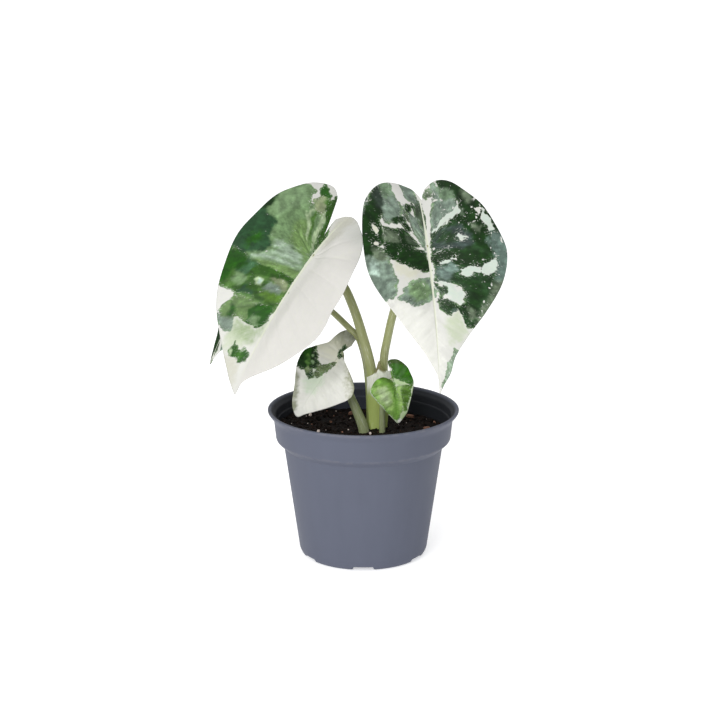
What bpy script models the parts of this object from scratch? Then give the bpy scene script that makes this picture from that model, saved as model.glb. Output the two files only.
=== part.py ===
"""Potted alocasia: a plastic nursery pot, its soil and corm, and five leaves on their stalks.

World frame: metres, +Z up, the origin at the middle of the pot's base, front towards -Y.
Sizes below are in millimetres and become metres through MM.
"""
import math
import random

import bpy
import bmesh
from mathutils import Matrix, Vector

MM = 0.001
GAP = 0.35                  # clearance between pieces that touch

# Pot
POT_HEIGHT = 94.0
RIM_RADIUS = 60.0
COLLAR_TOP_RADIUS = 56.4
COLLAR_LOW_RADIUS = 55.2
COLLAR_DEPTH = 18.0         # from the rim down to the collar's lower edge
STEP_DEPTH = 23.2           # from the rim down to the foot of the sloping step
BODY_TOP_RADIUS = 50.0
BODY_LOW_RADIUS = 40.5
WALL = 1.3
FOOT_HEIGHT = 2.0           # how far the foot ring lifts the base plate
FOOT_RING_INNER = 35.0
FOOT_DISC_RADIUS = 13.0
BASE_PLATE = 1.6
NOTCH_COUNT = 6
NOTCH_WIDTH = 12.6
DRAIN_RADIUS = 4.0
DRAIN_CIRCLE = 27.0
POT_SIDES = 60

# Soil and corm
SOIL_DEPTH = 16.0           # from the rim down to the soil
SOIL_RISE = 4.5             # how much higher the soil lies on the left
PLANT_CENTRE = (7.0, 1.5)   # where the stalks leave the soil
POCKET_RADIUS = 12.6
POCKET_FLOOR = 43.0
CORM_RADIUS = 11.8
CORM_TOP = 69.5
CORM_BOTTOM = 43.6
STALK_FOOT = CORM_TOP + 2 * GAP

# Sheath round the feet of the tall stalks
SHEATH_CENTRE = (9.0, 5.0)
SHEATH_RADIUS = 8.9
SHEATH_THICKNESS = 0.6
SHEATH_BOTTOM = 80.6
SHEATH_TOP = 119.5
SHEATH_WEB = 7.0            # how far the web between the two tall stalks stands above the top

# Blades
BLADE_THICKNESS = 1.0
SADDLE = 2.5                # radius, along the half-width, of the round valley over the midrib


def clear_scene():
    for obj in list(bpy.data.objects):
        bpy.data.objects.remove(obj, do_unlink=True)


def material(name, colour, roughness, metallic=0.0):
    mat = bpy.data.materials.new(name)
    mat.use_nodes = True
    mat.diffuse_color = (*colour, 1.0)
    shader = mat.node_tree.nodes["Principled BSDF"]
    shader.inputs["Base Color"].default_value = (*colour, 1.0)
    shader.inputs["Roughness"].default_value = roughness
    shader.inputs["Metallic"].default_value = metallic
    return mat


def add_object(name, data, mat):
    obj = bpy.data.objects.new(name, data)
    obj.data.materials.append(mat)
    bpy.context.collection.objects.link(obj)
    return obj


def mesh_from_bmesh(bm, name, smooth_angle=35.0):
    mesh = bpy.data.meshes.new(name)
    bm.to_mesh(mesh)
    bm.free()
    mesh.shade_smooth()
    mesh.set_sharp_from_angle(angle=math.radians(smooth_angle))
    return mesh


def turned(name, profile, sides, mat, centre=(0.0, 0.0)):
    """Turn a profile of (radius, height) points, from axis to axis, once round the Z axis."""
    bm = bmesh.new()
    points = [bm.verts.new((r * MM, 0.0, z * MM)) for r, z in profile]
    edges = [bm.edges.new(pair) for pair in zip(points, points[1:])]
    bmesh.ops.spin(bm, geom=points + edges, cent=(0, 0, 0), axis=(0, 0, 1),
                   angle=math.tau, steps=sides, use_merge=True)
    bmesh.ops.remove_doubles(bm, verts=bm.verts, dist=1e-6)
    bmesh.ops.recalc_face_normals(bm, faces=bm.faces)
    obj = add_object(name, mesh_from_bmesh(bm, name), mat)
    obj.location = (centre[0] * MM, centre[1] * MM, 0.0)
    return obj


def cut(target, name, bm):
    """Subtract the closed bodies in a bmesh from an object."""
    cutter = bpy.data.objects.new(name, mesh_from_bmesh(bm, name))
    bpy.context.collection.objects.link(cutter)
    cutter.hide_render = True
    cutter.display_type = "WIRE"
    modifier = target.modifiers.new(name, "BOOLEAN")
    modifier.operation = "DIFFERENCE"
    modifier.object = cutter


# ---------------------------------------------------------------- pot

def body_radius(z):
    """Outer radius of the tapered body at height z."""
    low = 4.0
    top = POT_HEIGHT - STEP_DEPTH
    return BODY_LOW_RADIUS + (BODY_TOP_RADIUS - BODY_LOW_RADIUS) * (z - low) / (top - low)


def wall_inside():
    """Inner wall of the pot below its ledge, as (radius, height) points from the top down."""
    collar_low = POT_HEIGHT - COLLAR_DEPTH
    step_foot = POT_HEIGHT - STEP_DEPTH
    floor = FOOT_HEIGHT + BASE_PLATE
    return [
        (COLLAR_TOP_RADIUS - WALL - 1.2, POT_HEIGHT - 8.4),
        (COLLAR_LOW_RADIUS - WALL - 0.2, collar_low + 0.6),
        (COLLAR_LOW_RADIUS - WALL - 1.0, collar_low - 0.8),
        (BODY_TOP_RADIUS - WALL + 0.7, step_foot + 1.9),
        (body_radius(step_foot) - WALL, step_foot + 0.4),
        (body_radius(floor + 1.6) - WALL, floor + 1.6),
        (body_radius(floor) - WALL - 1.2, floor),
    ]


def build_pot(mat):
    top = POT_HEIGHT
    collar_low = top - COLLAR_DEPTH
    step_foot = top - STEP_DEPTH
    floor = FOOT_HEIGHT + BASE_PLATE
    outside = [
        (0.0, 0.0),
        (FOOT_DISC_RADIUS, 0.0),
        (FOOT_DISC_RADIUS + 1.2, FOOT_HEIGHT),
        (FOOT_RING_INNER - 0.8, FOOT_HEIGHT),
        (FOOT_RING_INNER, 0.0),
        (37.6, 0.0),
        (39.2, 0.8),
        (40.1, 2.2),
        (body_radius(4.0), 4.0),
        (body_radius(step_foot), step_foot),
        (BODY_TOP_RADIUS + 0.8, step_foot + 1.0),
        (COLLAR_LOW_RADIUS - 1.0, collar_low - 1.4),
        (COLLAR_LOW_RADIUS, collar_low),
        (COLLAR_TOP_RADIUS, top - 3.2),
        (COLLAR_TOP_RADIUS + 0.7, top - 2.6),
        (RIM_RADIUS - 0.6, top - 2.5),
        (RIM_RADIUS, top - 1.9),
        (RIM_RADIUS, top - 0.6),
        (RIM_RADIUS - 0.6, top),
    ]
    inside = [
        (RIM_RADIUS - 2.0, top),
        (COLLAR_TOP_RADIUS, top - 1.4),
        (COLLAR_TOP_RADIUS - WALL, top - 3.4),
        (COLLAR_TOP_RADIUS - WALL - 0.5, top - 7.8),
    ]
    pot = turned("pot", outside + inside + wall_inside() + [(0.0, floor)], POT_SIDES, mat)

    bm = bmesh.new()
    for i in range(NOTCH_COUNT):
        turn = Matrix.Rotation(math.tau * i / NOTCH_COUNT - math.pi / 2, 4, "Z")
        notch = Matrix.Translation((40.0 * MM, 0.0, (FOOT_HEIGHT / 2 - 0.5) * MM))
        size = Matrix.Diagonal((14.0 * MM, NOTCH_WIDTH * MM, (FOOT_HEIGHT + 1.0) * MM, 1.0))
        bmesh.ops.create_cube(bm, size=1.0, matrix=turn @ notch @ size)
        hole = Matrix.Translation((DRAIN_CIRCLE * MM, 0.0, floor * MM))
        bmesh.ops.create_cone(bm, cap_ends=True, segments=16, radius1=DRAIN_RADIUS * MM,
                              radius2=DRAIN_RADIUS * MM, depth=3 * floor * MM, matrix=turn @ hole)
    cut(pot, "pot_openings_cutter", bm)


# ---------------------------------------------------------------- soil and corm

def surface_rise(x):
    """Height that the soil gains towards the left at x."""
    share = min(max((-x - 5.0) / 45.0, 0.0), 1.0)
    return SOIL_RISE * (1.0 - math.cos(math.pi * share)) / 2.0


def build_soil(mat):
    top = POT_HEIGHT - SOIL_DEPTH
    floor = FOOT_HEIGHT + BASE_PLATE + GAP
    against_wall = [(r - GAP, z + GAP) for r, z in reversed(wall_inside()[1:])]
    profile = [(0.0, floor)] + against_wall + [
        (COLLAR_LOW_RADIUS - WALL - 0.2 - GAP, top),
        (46.0, top + 0.3),
        (34.0, top - 0.4),
        (20.0, top),
        (0.0, top + 0.2),
    ]
    soil = turned("soil", profile, POT_SIDES, mat)
    for vertex in soil.data.vertices:
        if vertex.co.z > (top - 0.5) * MM:
            vertex.co.z += surface_rise(vertex.co.x / MM) * MM

    bm = bmesh.new()
    depth = POT_HEIGHT - POCKET_FLOOR
    place = Matrix.Translation((PLANT_CENTRE[0] * MM, PLANT_CENTRE[1] * MM,
                                (POCKET_FLOOR + depth / 2) * MM))
    bmesh.ops.create_cone(bm, cap_ends=True, segments=32, radius1=POCKET_RADIUS * MM,
                          radius2=POCKET_RADIUS * MM, depth=depth * MM, matrix=place)
    cut(soil, "corm_pocket_cutter", bm)


def build_corm(mat):
    """A squat tuber: rounded below, with a flat crown that the stalks stand on."""
    middle = CORM_BOTTOM + 0.45 * (CORM_TOP - CORM_BOTTOM)
    low = [(CORM_RADIUS * math.sin(a), middle - (middle - CORM_BOTTOM) * math.cos(a))
           for a in (math.pi / 2 * i / 6 for i in range(7))]
    high = [(CORM_RADIUS, CORM_TOP - 3.0), (CORM_RADIUS - 0.8, CORM_TOP - 0.8),
            (CORM_RADIUS - 1.6, CORM_TOP), (0.0, CORM_TOP)]
    low[0] = (0.0, CORM_BOTTOM)
    turned("corm", low + high, 28, mat, centre=PLANT_CENTRE)


def loose_piece(name, place, size, turn, mat, seed):
    """A lumpy grain: a small ball of faces pushed in and out, then stretched to size."""
    rng = random.Random(seed)
    bm = bmesh.new()
    bmesh.ops.create_icosphere(bm, subdivisions=1, radius=0.5)
    for vertex in bm.verts:
        vertex.co *= rng.uniform(0.85, 1.0)
    stretch = Matrix.Diagonal((size[0] * MM, size[1] * MM, size[2] * MM, 1.0))
    spin = Matrix.Rotation(math.radians(turn), 4, "Z")
    lift = Matrix.Translation((place[0] * MM, place[1] * MM, (place[2] + size[2] / 2) * MM))
    bmesh.ops.transform(bm, matrix=lift @ spin @ stretch, verts=bm.verts)
    add_object(name, mesh_from_bmesh(bm, name, 60.0), mat)


def build_soil_surface(bark, perlite):
    """Bark chips and perlite grains lying loose on the soil."""
    surface = POT_HEIGHT - SOIL_DEPTH + 0.55
    chips = [(-30, -32, 8, 4, 2.4, 20), (-14, -40, 6, 4, 2.2, 75), (-20, -20, 7, 3.6, 2.4, 130),
             (22, -38, 7, 4, 2.4, 40), (36, -24, 9, 4, 2.6, 100), (40, 4, 6, 3.6, 2.2, 15),
             (30, 30, 8, 4, 2.4, 150), (-8, 36, 7, 4, 2.4, 60)]
    for i, (x, y, length, width, height, turn) in enumerate(chips):
        rise = surface_rise(x - length / 2)
        loose_piece(f"bark_chip_{i + 1}", (x, y, surface + rise), (length, width, height), turn,
                    bark, seed=10 + i)
    grains = [(-20, -34, 3.0), (-8, -28, 2.6), (-4, -16, 2.8), (-28, -12, 3.0), (18, -24, 2.6),
              (33, -34, 3.0), (44, -8, 2.8), (-34, 22, 3.0)]
    for i, (x, y, width) in enumerate(grains):
        rise = surface_rise(x - width / 2)
        loose_piece(f"perlite_{i + 1}", (x, y, surface + rise), (width, width * 0.9, width * 0.8),
                    35 * i, perlite, seed=40 + i)


# ---------------------------------------------------------------- smooth lines

def smooth_line(points, per_span):
    """Catmull-Rom curve through the points, per_span samples between each two."""
    pts = [Vector(p) for p in points]
    pts = [2 * pts[0] - pts[1]] + pts + [2 * pts[-1] - pts[-2]]
    line = []
    for a, b, c, d in zip(pts, pts[1:], pts[2:], pts[3:]):
        for step in range(per_span):
            t = step / per_span
            line.append(0.5 * (2 * b + (c - a) * t + (2 * a - 5 * b + 4 * c - d) * t * t
                               + (3 * b - a - 3 * c + d) * t ** 3))
    line.append(pts[-2])
    return line


def build_stalk(name, route, radii, mat):
    """A round stalk along a smooth route of (x, y, z) points, with a radius at each point."""
    line = smooth_line([(*p, r) for p, r in zip(route, radii)], 3)
    curve = bpy.data.curves.new(name, "CURVE")
    curve.dimensions = "3D"
    curve.bevel_depth = MM
    curve.bevel_resolution = 3
    curve.use_fill_caps = True
    spline = curve.splines.new("POLY")
    spline.points.add(len(line) - 1)
    for point, sample in zip(spline.points, line):
        point.co = (sample[0] * MM, sample[1] * MM, sample[2] * MM, 1.0)
        point.radius = sample[3]
    return add_object(name, curve, mat)


# ---------------------------------------------------------------- leaf blades

class LeafFrame:
    """Where a blade hangs: its joint with the stalk, its midrib and the way it faces.

    The midrib leaves the joint and bends at a constant rate so that it ends at the tip. The
    blade faces up as far as its midrib lets it, then rolls about the midrib. Both halves
    rise from the midrib at the fold angle.
    """

    def __init__(self, joint, tip, roll, fold, bend, bend_back):
        self.joint = Vector(joint)
        chord = Vector(tip) - self.joint
        aim = chord.normalized()
        face = (Vector((0, 0, 1)) - aim * aim.z).normalized()
        side = face.cross(aim)
        roll = math.radians(roll)
        face = face * math.cos(roll) + side * math.sin(roll)
        half_turn = bend * chord.length / 2
        self.along = aim * math.cos(half_turn) + face * math.sin(half_turn)
        self.face = face * math.cos(half_turn) - aim * math.sin(half_turn)
        self.side = self.face.cross(self.along)
        self.fold = math.radians(fold)
        self.bend = bend
        self.bend_back = bend_back

    def under(self, a, drop):
        """Point below the midrib, drop beyond the clearance that a stalk keeps there."""
        return tuple(self.point(a, 0.0, -(BLADE_THICKNESS / 2 + GAP + drop)))

    def point(self, a, b, lift):
        """Point a along the midrib and b across it, lifted above the blade's middle layer."""
        rate = self.bend if a >= 0 else self.bend_back
        turn = rate * abs(a)
        way = 1.0 if a >= 0 else -1.0
        rib = (self.joint + self.along * (way * math.sin(turn) / rate)
               - self.face * ((1 - math.cos(turn)) / rate))
        normal = self.face * math.cos(turn) + self.along * (way * math.sin(turn))
        rise = (math.sqrt(b * b + SADDLE * SADDLE) - SADDLE) * math.sin(self.fold)
        return rib + self.side * (b * math.cos(self.fold)) + normal * (rise + lift)


def build_blade(name, frame, left, right, rings, mat):
    """A thin leaf blade: rays from the stalk's joint out to the outline, on both faces.

    left runs from the notch round the left lobe to the tip, right from the tip back to the
    notch, as (a, b) points; where they end apart, the blade is slit up to the joint.
    """
    outline = smooth_line(left, 2)[:-1] + smooth_line(right, 2)
    closed = (outline[0] - outline[-1]).length < 0.01
    if closed:
        outline.pop()
    count = len(outline)
    bm = bmesh.new()
    faces = {}
    for lift in (BLADE_THICKNESS / 2, -BLADE_THICKNESS / 2):
        hub = bm.verts.new(frame.point(0.0, 0.0, lift) * MM)
        rows = []
        for ring in range(1, rings + 1):
            share = ring / rings
            rows.append([bm.verts.new(frame.point(p.x * share, p.y * share, lift) * MM)
                         for p in outline])
        faces[lift > 0] = (hub, rows)
    spans = range(count if closed else count - 1)
    for hub, rows in faces.values():
        for i in spans:
            j = (i + 1) % count
            bm.faces.new((hub, rows[0][i], rows[0][j]))
            for inner, outer in zip(rows, rows[1:]):
                bm.faces.new((inner[i], outer[i], outer[j], inner[j]))
    (top_hub, top), (low_hub, low) = faces[True], faces[False]
    for i in spans:
        j = (i + 1) % count
        bm.faces.new((top[-1][i], low[-1][i], low[-1][j], top[-1][j]))
    if not closed:
        for i in (0, -1):
            upper = [top_hub] + [row[i] for row in top]
            lower = [low_hub] + [row[i] for row in low]
            for a, b, c, d in zip(upper, upper[1:], lower[1:], lower):
                bm.faces.new((a, b, c, d))
    bmesh.ops.triangulate(bm, faces=bm.faces)
    bmesh.ops.recalc_face_normals(bm, faces=bm.faces)
    add_object(name, mesh_from_bmesh(bm, name, 50.0), mat)


def build_left_leaf(stalk_mat, blade_mat):
    frame = LeafFrame((-31.8, 5.0, 189.8), (-79.3, -30.0, 113.0), 22, 18, 0.004, 0.008)
    left = [(-40, -12), (-47, -16), (-50, -25), (-43, -36), (-30, -41), (-15, -45), (2, -47),
            (20, -47), (38, -43), (56, -35), (72, -23), (86, -11), (98, 1)]
    right = [(98, 1), (86, 6), (74, 22), (62, 34), (48, 45), (30, 43), (14, 42), (-2, 36),
             (-18, 30), (-30, 17), (-38, 3), (-32, -5.5)]
    build_blade("left_leaf_blade", frame, left, right, 4, blade_mat)
    route = [(6.6, 1.6, STALK_FOOT), (6.6, 1.7, 86), (6.4, 2.0, 104), (4.6, 2.5, 118),
             (2.6, 3.0, 128), (-0.4, 4.0, 139), (-4.7, 6.0, 153), (-10.9, 10.0, 167.5),
             (-16.5, 13.5, 174.0), (-22.5, 15.5, 179.5), (-27.5, 13.0, 183.2),
             frame.under(-0.5, 4.5), frame.under(-0.5, 0.4)]
    radii = [3.7, 3.7, 3.7, 3.5, 3.3, 3.1, 2.9, 2.8, 2.7, 2.6, 2.4, 2.2, 2.0]
    build_stalk("left_leaf_stalk", route, radii, stalk_mat)


def build_right_leaf(stalk_mat, blade_mat):
    frame = LeafFrame((39.5, -5.0, 197.7), (46.7, -35.0, 114.5), 0, 12, 0.004, 0.008)
    left = [(-34, 2), (-42, -3), (-45, -14), (-43, -25), (-35, -34), (-22, -40), (-4, -43),
            (14, -42), (31, -34), (47, -22), (64, -9), (78, -1), (90, 0)]
    right = [(90, 0), (80, 6), (68, 10), (56, 20), (41, 32), (25, 44), (10, 48), (-4, 46),
             (-19, 40), (-33, 31), (-43, 23), (-46, 13), (-42, 5), (-34, 2)]
    build_blade("right_leaf_blade", frame, left, right, 4, blade_mat)
    route = [(12.2, 6.6, STALK_FOOT), (12.4, 6.6, 86), (12.7, 5.5, 108), (12.9, 4.4, 125),
             (15.0, 3.4, 138), (18.4, 2.6, 154), (23.0, 3.5, 168), (28.5, 5.2, 179),
             (33.5, 6.0, 188.0), (36.8, 3.8, 193.2), frame.under(-0.5, 4.5),
             frame.under(-0.5, 0.4)]
    radii = [2.9, 2.9, 2.8, 2.7, 2.6, 2.6, 2.5, 2.4, 2.3, 2.2, 2.1, 1.9]
    build_stalk("right_leaf_stalk", route, radii, stalk_mat)


def build_back_leaf(stalk_mat, blade_mat):
    frame = LeafFrame((-67.0, 42.0, 174.5), (-98.0, 28.0, 114.5), 18, 15, 0.004, 0.010)
    left = [(-22, -3), (-27, -9), (-22, -18), (-10, -22), (4, -22), (20, -18), (34, -11),
            (47, -5), (58, -3), (69, 0)]
    right = [(69, 0), (63, 2.5), (55, 8), (44, 14), (30, 19), (15, 22), (0, 23), (-12, 21),
             (-22, 17), (-27, 9), (-22, 3)]
    build_blade("back_leaf_blade", frame, left, right, 3, blade_mat)
    route = [(4.0, 8.6, STALK_FOOT), (4.0, 8.8, 86), (3.4, 9.0, 104), (1.6, 9.4, 120),
             (-1.0, 9.6, 131), (-3.8, 8.6, 138.4), (-8.4, 9.0, 143.0), (-20.1, 18.0, 152.2),
             (-33.0, 28.0, 160.0), (-46.0, 38.5, 165.5), (-55.0, 45.5, 167.5),
             (-60.5, 47.5, 169.0), frame.under(-0.5, 4.5), frame.under(-0.5, 0.4)]
    radii = [2.1, 2.1, 2.1, 2.0, 2.0, 2.0, 2.0, 1.9, 1.9, 1.8, 1.8, 1.8, 1.7, 1.6]
    build_stalk("back_leaf_stalk", route, radii, stalk_mat)


def build_small_white_leaf(stalk_mat, blade_mat):
    frame = LeafFrame((-14.1, 4.0, 128.7), (-41.8, -14.0, 92.3), 42, 25, 0.004, 0.030)
    left = [(-8, 3), (-12.5, 2), (-17, 2), (-19, -1), (-17, -5), (-11, -9), (-1, -11),
            (7, -17), (13, -21), (22, -19), (33, -13), (44, -7), (49, 0)]
    right = [(49, 0), (41, 8), (32, 17), (24, 25), (18, 26), (13, 21)]
    build_blade("small_white_leaf_blade", frame, left, right, 3, blade_mat)
    route = [(0.4, -3.2, STALK_FOOT), (0.2, -3.2, 81), (-3.4, -2.6, 92), (-7.2, -0.6, 102),
             (-10.3, 4.0, 111), (-12.4, 8.0, 118), (-13.5, 9.4, 123.5),
             frame.under(-0.4, 3.4), frame.under(-0.4, 0.4)]
    radii = [2.7, 2.7, 2.6, 2.4, 2.2, 2.0, 1.8, 1.7, 1.5]
    build_stalk("small_white_leaf_stalk", route, radii, stalk_mat)


def build_small_green_leaf(stalk_mat, blade_mat):
    frame = LeafFrame((18.3, -13.0, 115.3), (21.8, -16.0, 88.5), -35, 20, 0.006, 0.020)
    left = [(-9, 0), (-13, -3), (-10, -10), (-5, -17), (3, -18), (14, -11), (22, -4), (27, 0)]
    right = [(27, 0), (20, 7), (12, 10), (3, 13), (-6, 11), (-11, 7), (-13, 3), (-9, 0)]
    build_blade("small_green_leaf_blade", frame, left, right, 3, blade_mat)
    route = [(11.8, -6.6, STALK_FOOT), (11.8, -6.8, 84), (12.0, -7.4, 98),
             (13.4, -7.4, 107), (15.6, -7.6, 112.2), frame.under(-0.4, 2.6),
             frame.under(-0.4, 0.4)]
    radii = [1.9, 1.9, 1.8, 1.6, 1.5, 1.4, 1.2]
    build_stalk("small_green_leaf_stalk", route, radii, stalk_mat)


def build_sheath(mat):
    """Thin open sleeve in front of the two tallest stalks: its left edge leans away from the
    small white leaf's stalk, and its free edge rises to a web between the tall stalks."""
    first, last, lean, columns, rows = 222.0, 350.0, 14.0, 20, 8
    bm = bmesh.new()
    layers = []
    for radius in (SHEATH_RADIUS, SHEATH_RADIUS + SHEATH_THICKNESS):
        layer = []
        for i in range(columns + 1):
            share = i / columns
            web = SHEATH_WEB * math.exp(-((share - 0.41) / 0.085) ** 2)
            top = SHEATH_TOP - 11.0 * abs(share - 0.58) ** 1.4 + web
            column = []
            for j in range(rows + 1):
                up = j / rows
                start = first + lean * max(0.0, 1.0 - 2.0 * up)
                angle = math.radians(start + (last - start) * share)
                column.append(bm.verts.new(((SHEATH_CENTRE[0] + radius * math.cos(angle)) * MM,
                                            (SHEATH_CENTRE[1] + radius * math.sin(angle)) * MM,
                                            (SHEATH_BOTTOM + (top - SHEATH_BOTTOM) * up) * MM)))
            layer.append(column)
        layers.append(layer)
    for layer in layers:
        for left, right in zip(layer, layer[1:]):
            for j in range(rows):
                bm.faces.new((left[j], right[j], right[j + 1], left[j + 1]))
    inner, outer = layers
    for i in range(columns):
        for j in (0, rows):
            bm.faces.new((inner[i][j], inner[i + 1][j], outer[i + 1][j], outer[i][j]))
    for i in (0, columns):
        for j in range(rows):
            bm.faces.new((inner[i][j], inner[i][j + 1], outer[i][j + 1], outer[i][j]))
    bmesh.ops.recalc_face_normals(bm, faces=bm.faces)
    add_object("stalk_sheath", mesh_from_bmesh(bm, "stalk_sheath", 50.0), mat)


def main():
    clear_scene()
    slate = material("slate_plastic", (0.165, 0.178, 0.245), 0.45)
    peat = material("peat_soil", (0.030, 0.018, 0.012), 0.95)
    tuber = material("corm_skin", (0.20, 0.12, 0.07), 0.8)
    bark = material("bark", (0.16, 0.08, 0.04), 0.9)
    perlite = material("perlite", (0.80, 0.78, 0.72), 0.9)
    stalk = material("stalk_green", (0.36, 0.40, 0.20), 0.4)
    pale_stalk = material("stalk_pale", (0.42, 0.46, 0.30), 0.4)
    variegated = material("leaf_green_and_white", (0.40, 0.50, 0.36), 0.35)
    white = material("leaf_white", (0.80, 0.80, 0.72), 0.35)
    green = material("leaf_green", (0.10, 0.32, 0.06), 0.35)

    build_pot(slate)
    build_soil(peat)
    build_corm(tuber)
    build_soil_surface(bark, perlite)
    build_left_leaf(stalk, variegated)
    build_right_leaf(stalk, variegated)
    build_back_leaf(stalk, variegated)
    build_small_white_leaf(pale_stalk, white)
    build_small_green_leaf(stalk, green)
    build_sheath(white)


main()
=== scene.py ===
"""Looks of a potted alocasia: a stepped nursery pot, its soil and five variegated leaves.

Every piece is a surface worked out on a grid of two parameters. Plans are in millimetres, in the
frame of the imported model: +Z up, the origin at the middle of the pot's base, front towards -Y.
"""

import itertools
import math
from dataclasses import dataclass, field

import bpy
import numpy as np
from bpy.props import FloatProperty, FloatVectorProperty, IntProperty, PointerProperty
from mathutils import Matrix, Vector


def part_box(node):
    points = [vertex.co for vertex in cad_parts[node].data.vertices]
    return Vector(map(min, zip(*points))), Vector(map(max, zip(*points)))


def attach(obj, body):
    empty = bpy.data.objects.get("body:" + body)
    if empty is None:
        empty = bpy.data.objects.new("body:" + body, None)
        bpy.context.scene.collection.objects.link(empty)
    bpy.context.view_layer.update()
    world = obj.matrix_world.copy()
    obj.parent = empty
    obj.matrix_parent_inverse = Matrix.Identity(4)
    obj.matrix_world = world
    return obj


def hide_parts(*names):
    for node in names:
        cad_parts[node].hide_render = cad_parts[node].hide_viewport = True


bl_info = {
    "name": "Potted alocasia",
    "version": (1, 0, 0),
    "blender": (4, 5, 0),
    "location": "View3D > Sidebar > Alocasia",
    "description": "Builds a potted variegated alocasia around its packed frame",
    "category": "Add Mesh",
}

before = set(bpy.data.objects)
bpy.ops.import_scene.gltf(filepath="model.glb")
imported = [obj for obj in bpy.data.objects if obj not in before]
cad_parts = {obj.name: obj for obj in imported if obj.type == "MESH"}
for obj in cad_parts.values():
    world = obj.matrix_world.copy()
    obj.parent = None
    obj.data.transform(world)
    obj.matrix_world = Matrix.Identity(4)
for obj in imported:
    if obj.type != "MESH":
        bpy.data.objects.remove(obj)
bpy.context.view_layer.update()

MM = 0.001
BODY = "root"


def linear(red, green, blue):
    """Linear colour of a display colour given as 0 to 255."""
    shares = np.array([red, green, blue]) / 255.0
    low = shares / 12.92
    high = ((shares + 0.055) / 1.055) ** 2.4
    return tuple(float(v) for v in np.where(shares <= 0.04045, low, high))


# ------------------------------------------------------------------ settings

class PotSettings(bpy.types.PropertyGroup):
    """Sizes and colours of the pot"""
    plastic: FloatVectorProperty(
        name="Plastic", description="Colour of the pot's plastic", subtype="COLOR", size=3,
        default=linear(89, 93, 107))
    scuff: FloatVectorProperty(
        name="Scuff", description="Colour of worn and dusty plastic", subtype="COLOR", size=3,
        default=linear(120, 118, 123))
    sides: IntProperty(
        name="Sides", description="Steps round the pot", default=288, min=48)
    notch_width: FloatProperty(
        name="Notch width", description="Width of a drainage notch in the foot ring",
        subtype="DISTANCE", unit="LENGTH", default=0.0126)


class SoilSettings(bpy.types.PropertyGroup):
    """Sizes, counts and colours of the soil and of what lies on it"""
    peat: FloatVectorProperty(
        name="Peat", description="Colour of the moist peat", subtype="COLOR", size=3,
        default=linear(30, 21, 17))
    fibre: FloatVectorProperty(
        name="Fibre", description="Colour of the dry fibres in the peat",
        subtype="COLOR", size=3, default=linear(74, 48, 36))
    relief: FloatProperty(
        name="Relief", description="Height of the clods on the surface",
        subtype="DISTANCE", unit="LENGTH", default=0.0018)
    crumbs: IntProperty(
        name="Crumbs", description="Loose crumbs of peat on the surface", default=900, min=0)
    specks: IntProperty(
        name="Specks", description="Small loose specks of perlite", default=46, min=0)


class LeafSettings(bpy.types.PropertyGroup):
    """Sizes and colours that all the blades share"""
    thickness: FloatProperty(
        name="Thickness", description="Thickness of a blade between its veins",
        subtype="DISTANCE", unit="LENGTH", default=0.0006)
    vein_depth: FloatProperty(
        name="Vein depth", description="How far the side veins sink into the upper face",
        subtype="DISTANCE", unit="LENGTH", default=0.00015)
    quilt: FloatProperty(
        name="Quilting", description="How far the blade swells up between two side veins",
        subtype="DISTANCE", unit="LENGTH", default=0.0002)
    white: FloatVectorProperty(
        name="White tissue", description="Colour of the tissue with no leaf green",
        subtype="COLOR", size=3, default=linear(200, 200, 195))
    cream: FloatVectorProperty(
        name="Cream", description="Colour of the midrib and small veins in the white tissue",
        subtype="COLOR", size=3, default=linear(203, 208, 184))


class StalkSettings(bpy.types.PropertyGroup):
    """Colours of the stalks"""
    olive: FloatVectorProperty(
        name="Olive", description="Colour of the upper stalks", subtype="COLOR", size=3,
        default=linear(142, 147, 98))
    lime: FloatVectorProperty(
        name="Lime", description="Colour of the feet of the tall stalks and of the sheath",
        subtype="COLOR", size=3, default=linear(168, 184, 104))
    # moss: partly the small stalks' own greener foot, partly painted shade where they stand under the
    # leaves
    moss: FloatVectorProperty(
        name="Moss", description="Colour of the feet of the small stalks", subtype="COLOR",
        size=3, default=linear(140, 150, 108))
    pale: FloatVectorProperty(
        name="Pale", description="Colour of the white leaf's stalk", subtype="COLOR", size=3,
        default=linear(158, 166, 132))
    blush: FloatVectorProperty(
        name="Blush", description="Colour of the pale streaks on the stalks",
        subtype="COLOR", size=3, default=linear(226, 222, 212))


class StageSettings(bpy.types.PropertyGroup):
    """The floor's colour and the camera's place"""
    floor: FloatVectorProperty(
        name="Floor", description="Colour of the floor", subtype="COLOR", size=3,
        default=(0.9, 0.9, 0.9))
    distance: FloatProperty(
        name="Camera distance", description="From the camera to the middle of the rim",
        subtype="DISTANCE", unit="LENGTH", default=1.38)
    height_angle: FloatProperty(
        name="Camera height", description="Height angle of the camera above the rim's middle",
        subtype="ANGLE", default=math.radians(16.4))
    lens: FloatProperty(
        name="Lens", description="Focal length on a 36 mm sensor", subtype="DISTANCE_CAMERA",
        default=109.85)


# ------------------------------------------------------------------ arrays

def hashed(cells, seed):
    """A number from 0 to 1 for each row of whole numbers: the products of the coordinates and
    three large primes are mixed bit by bit."""
    primes = (73856093, 19349663, 83492791)
    mask = 0xFFFFFFFF
    mixed = np.full(cells.shape[:-1], (seed * 2654435761 + 97) & mask, np.int64)
    for axis in range(cells.shape[-1]):
        mixed ^= (cells[..., axis] * primes[axis]) & mask
    mixed = ((mixed ^ (mixed >> 13)) * 1274126177) & mask
    mixed = ((mixed ^ (mixed >> 15)) * 2246822519) & mask
    return (mixed ^ (mixed >> 16)) / mask


def hashed_table(rows, columns, seed, first=0):
    """A hashed number for each row and column, with the columns numbered from the first."""
    cells = np.meshgrid(np.arange(rows), first + np.arange(columns), indexing="ij")
    return hashed(np.stack(cells, axis=-1), seed)


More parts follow.
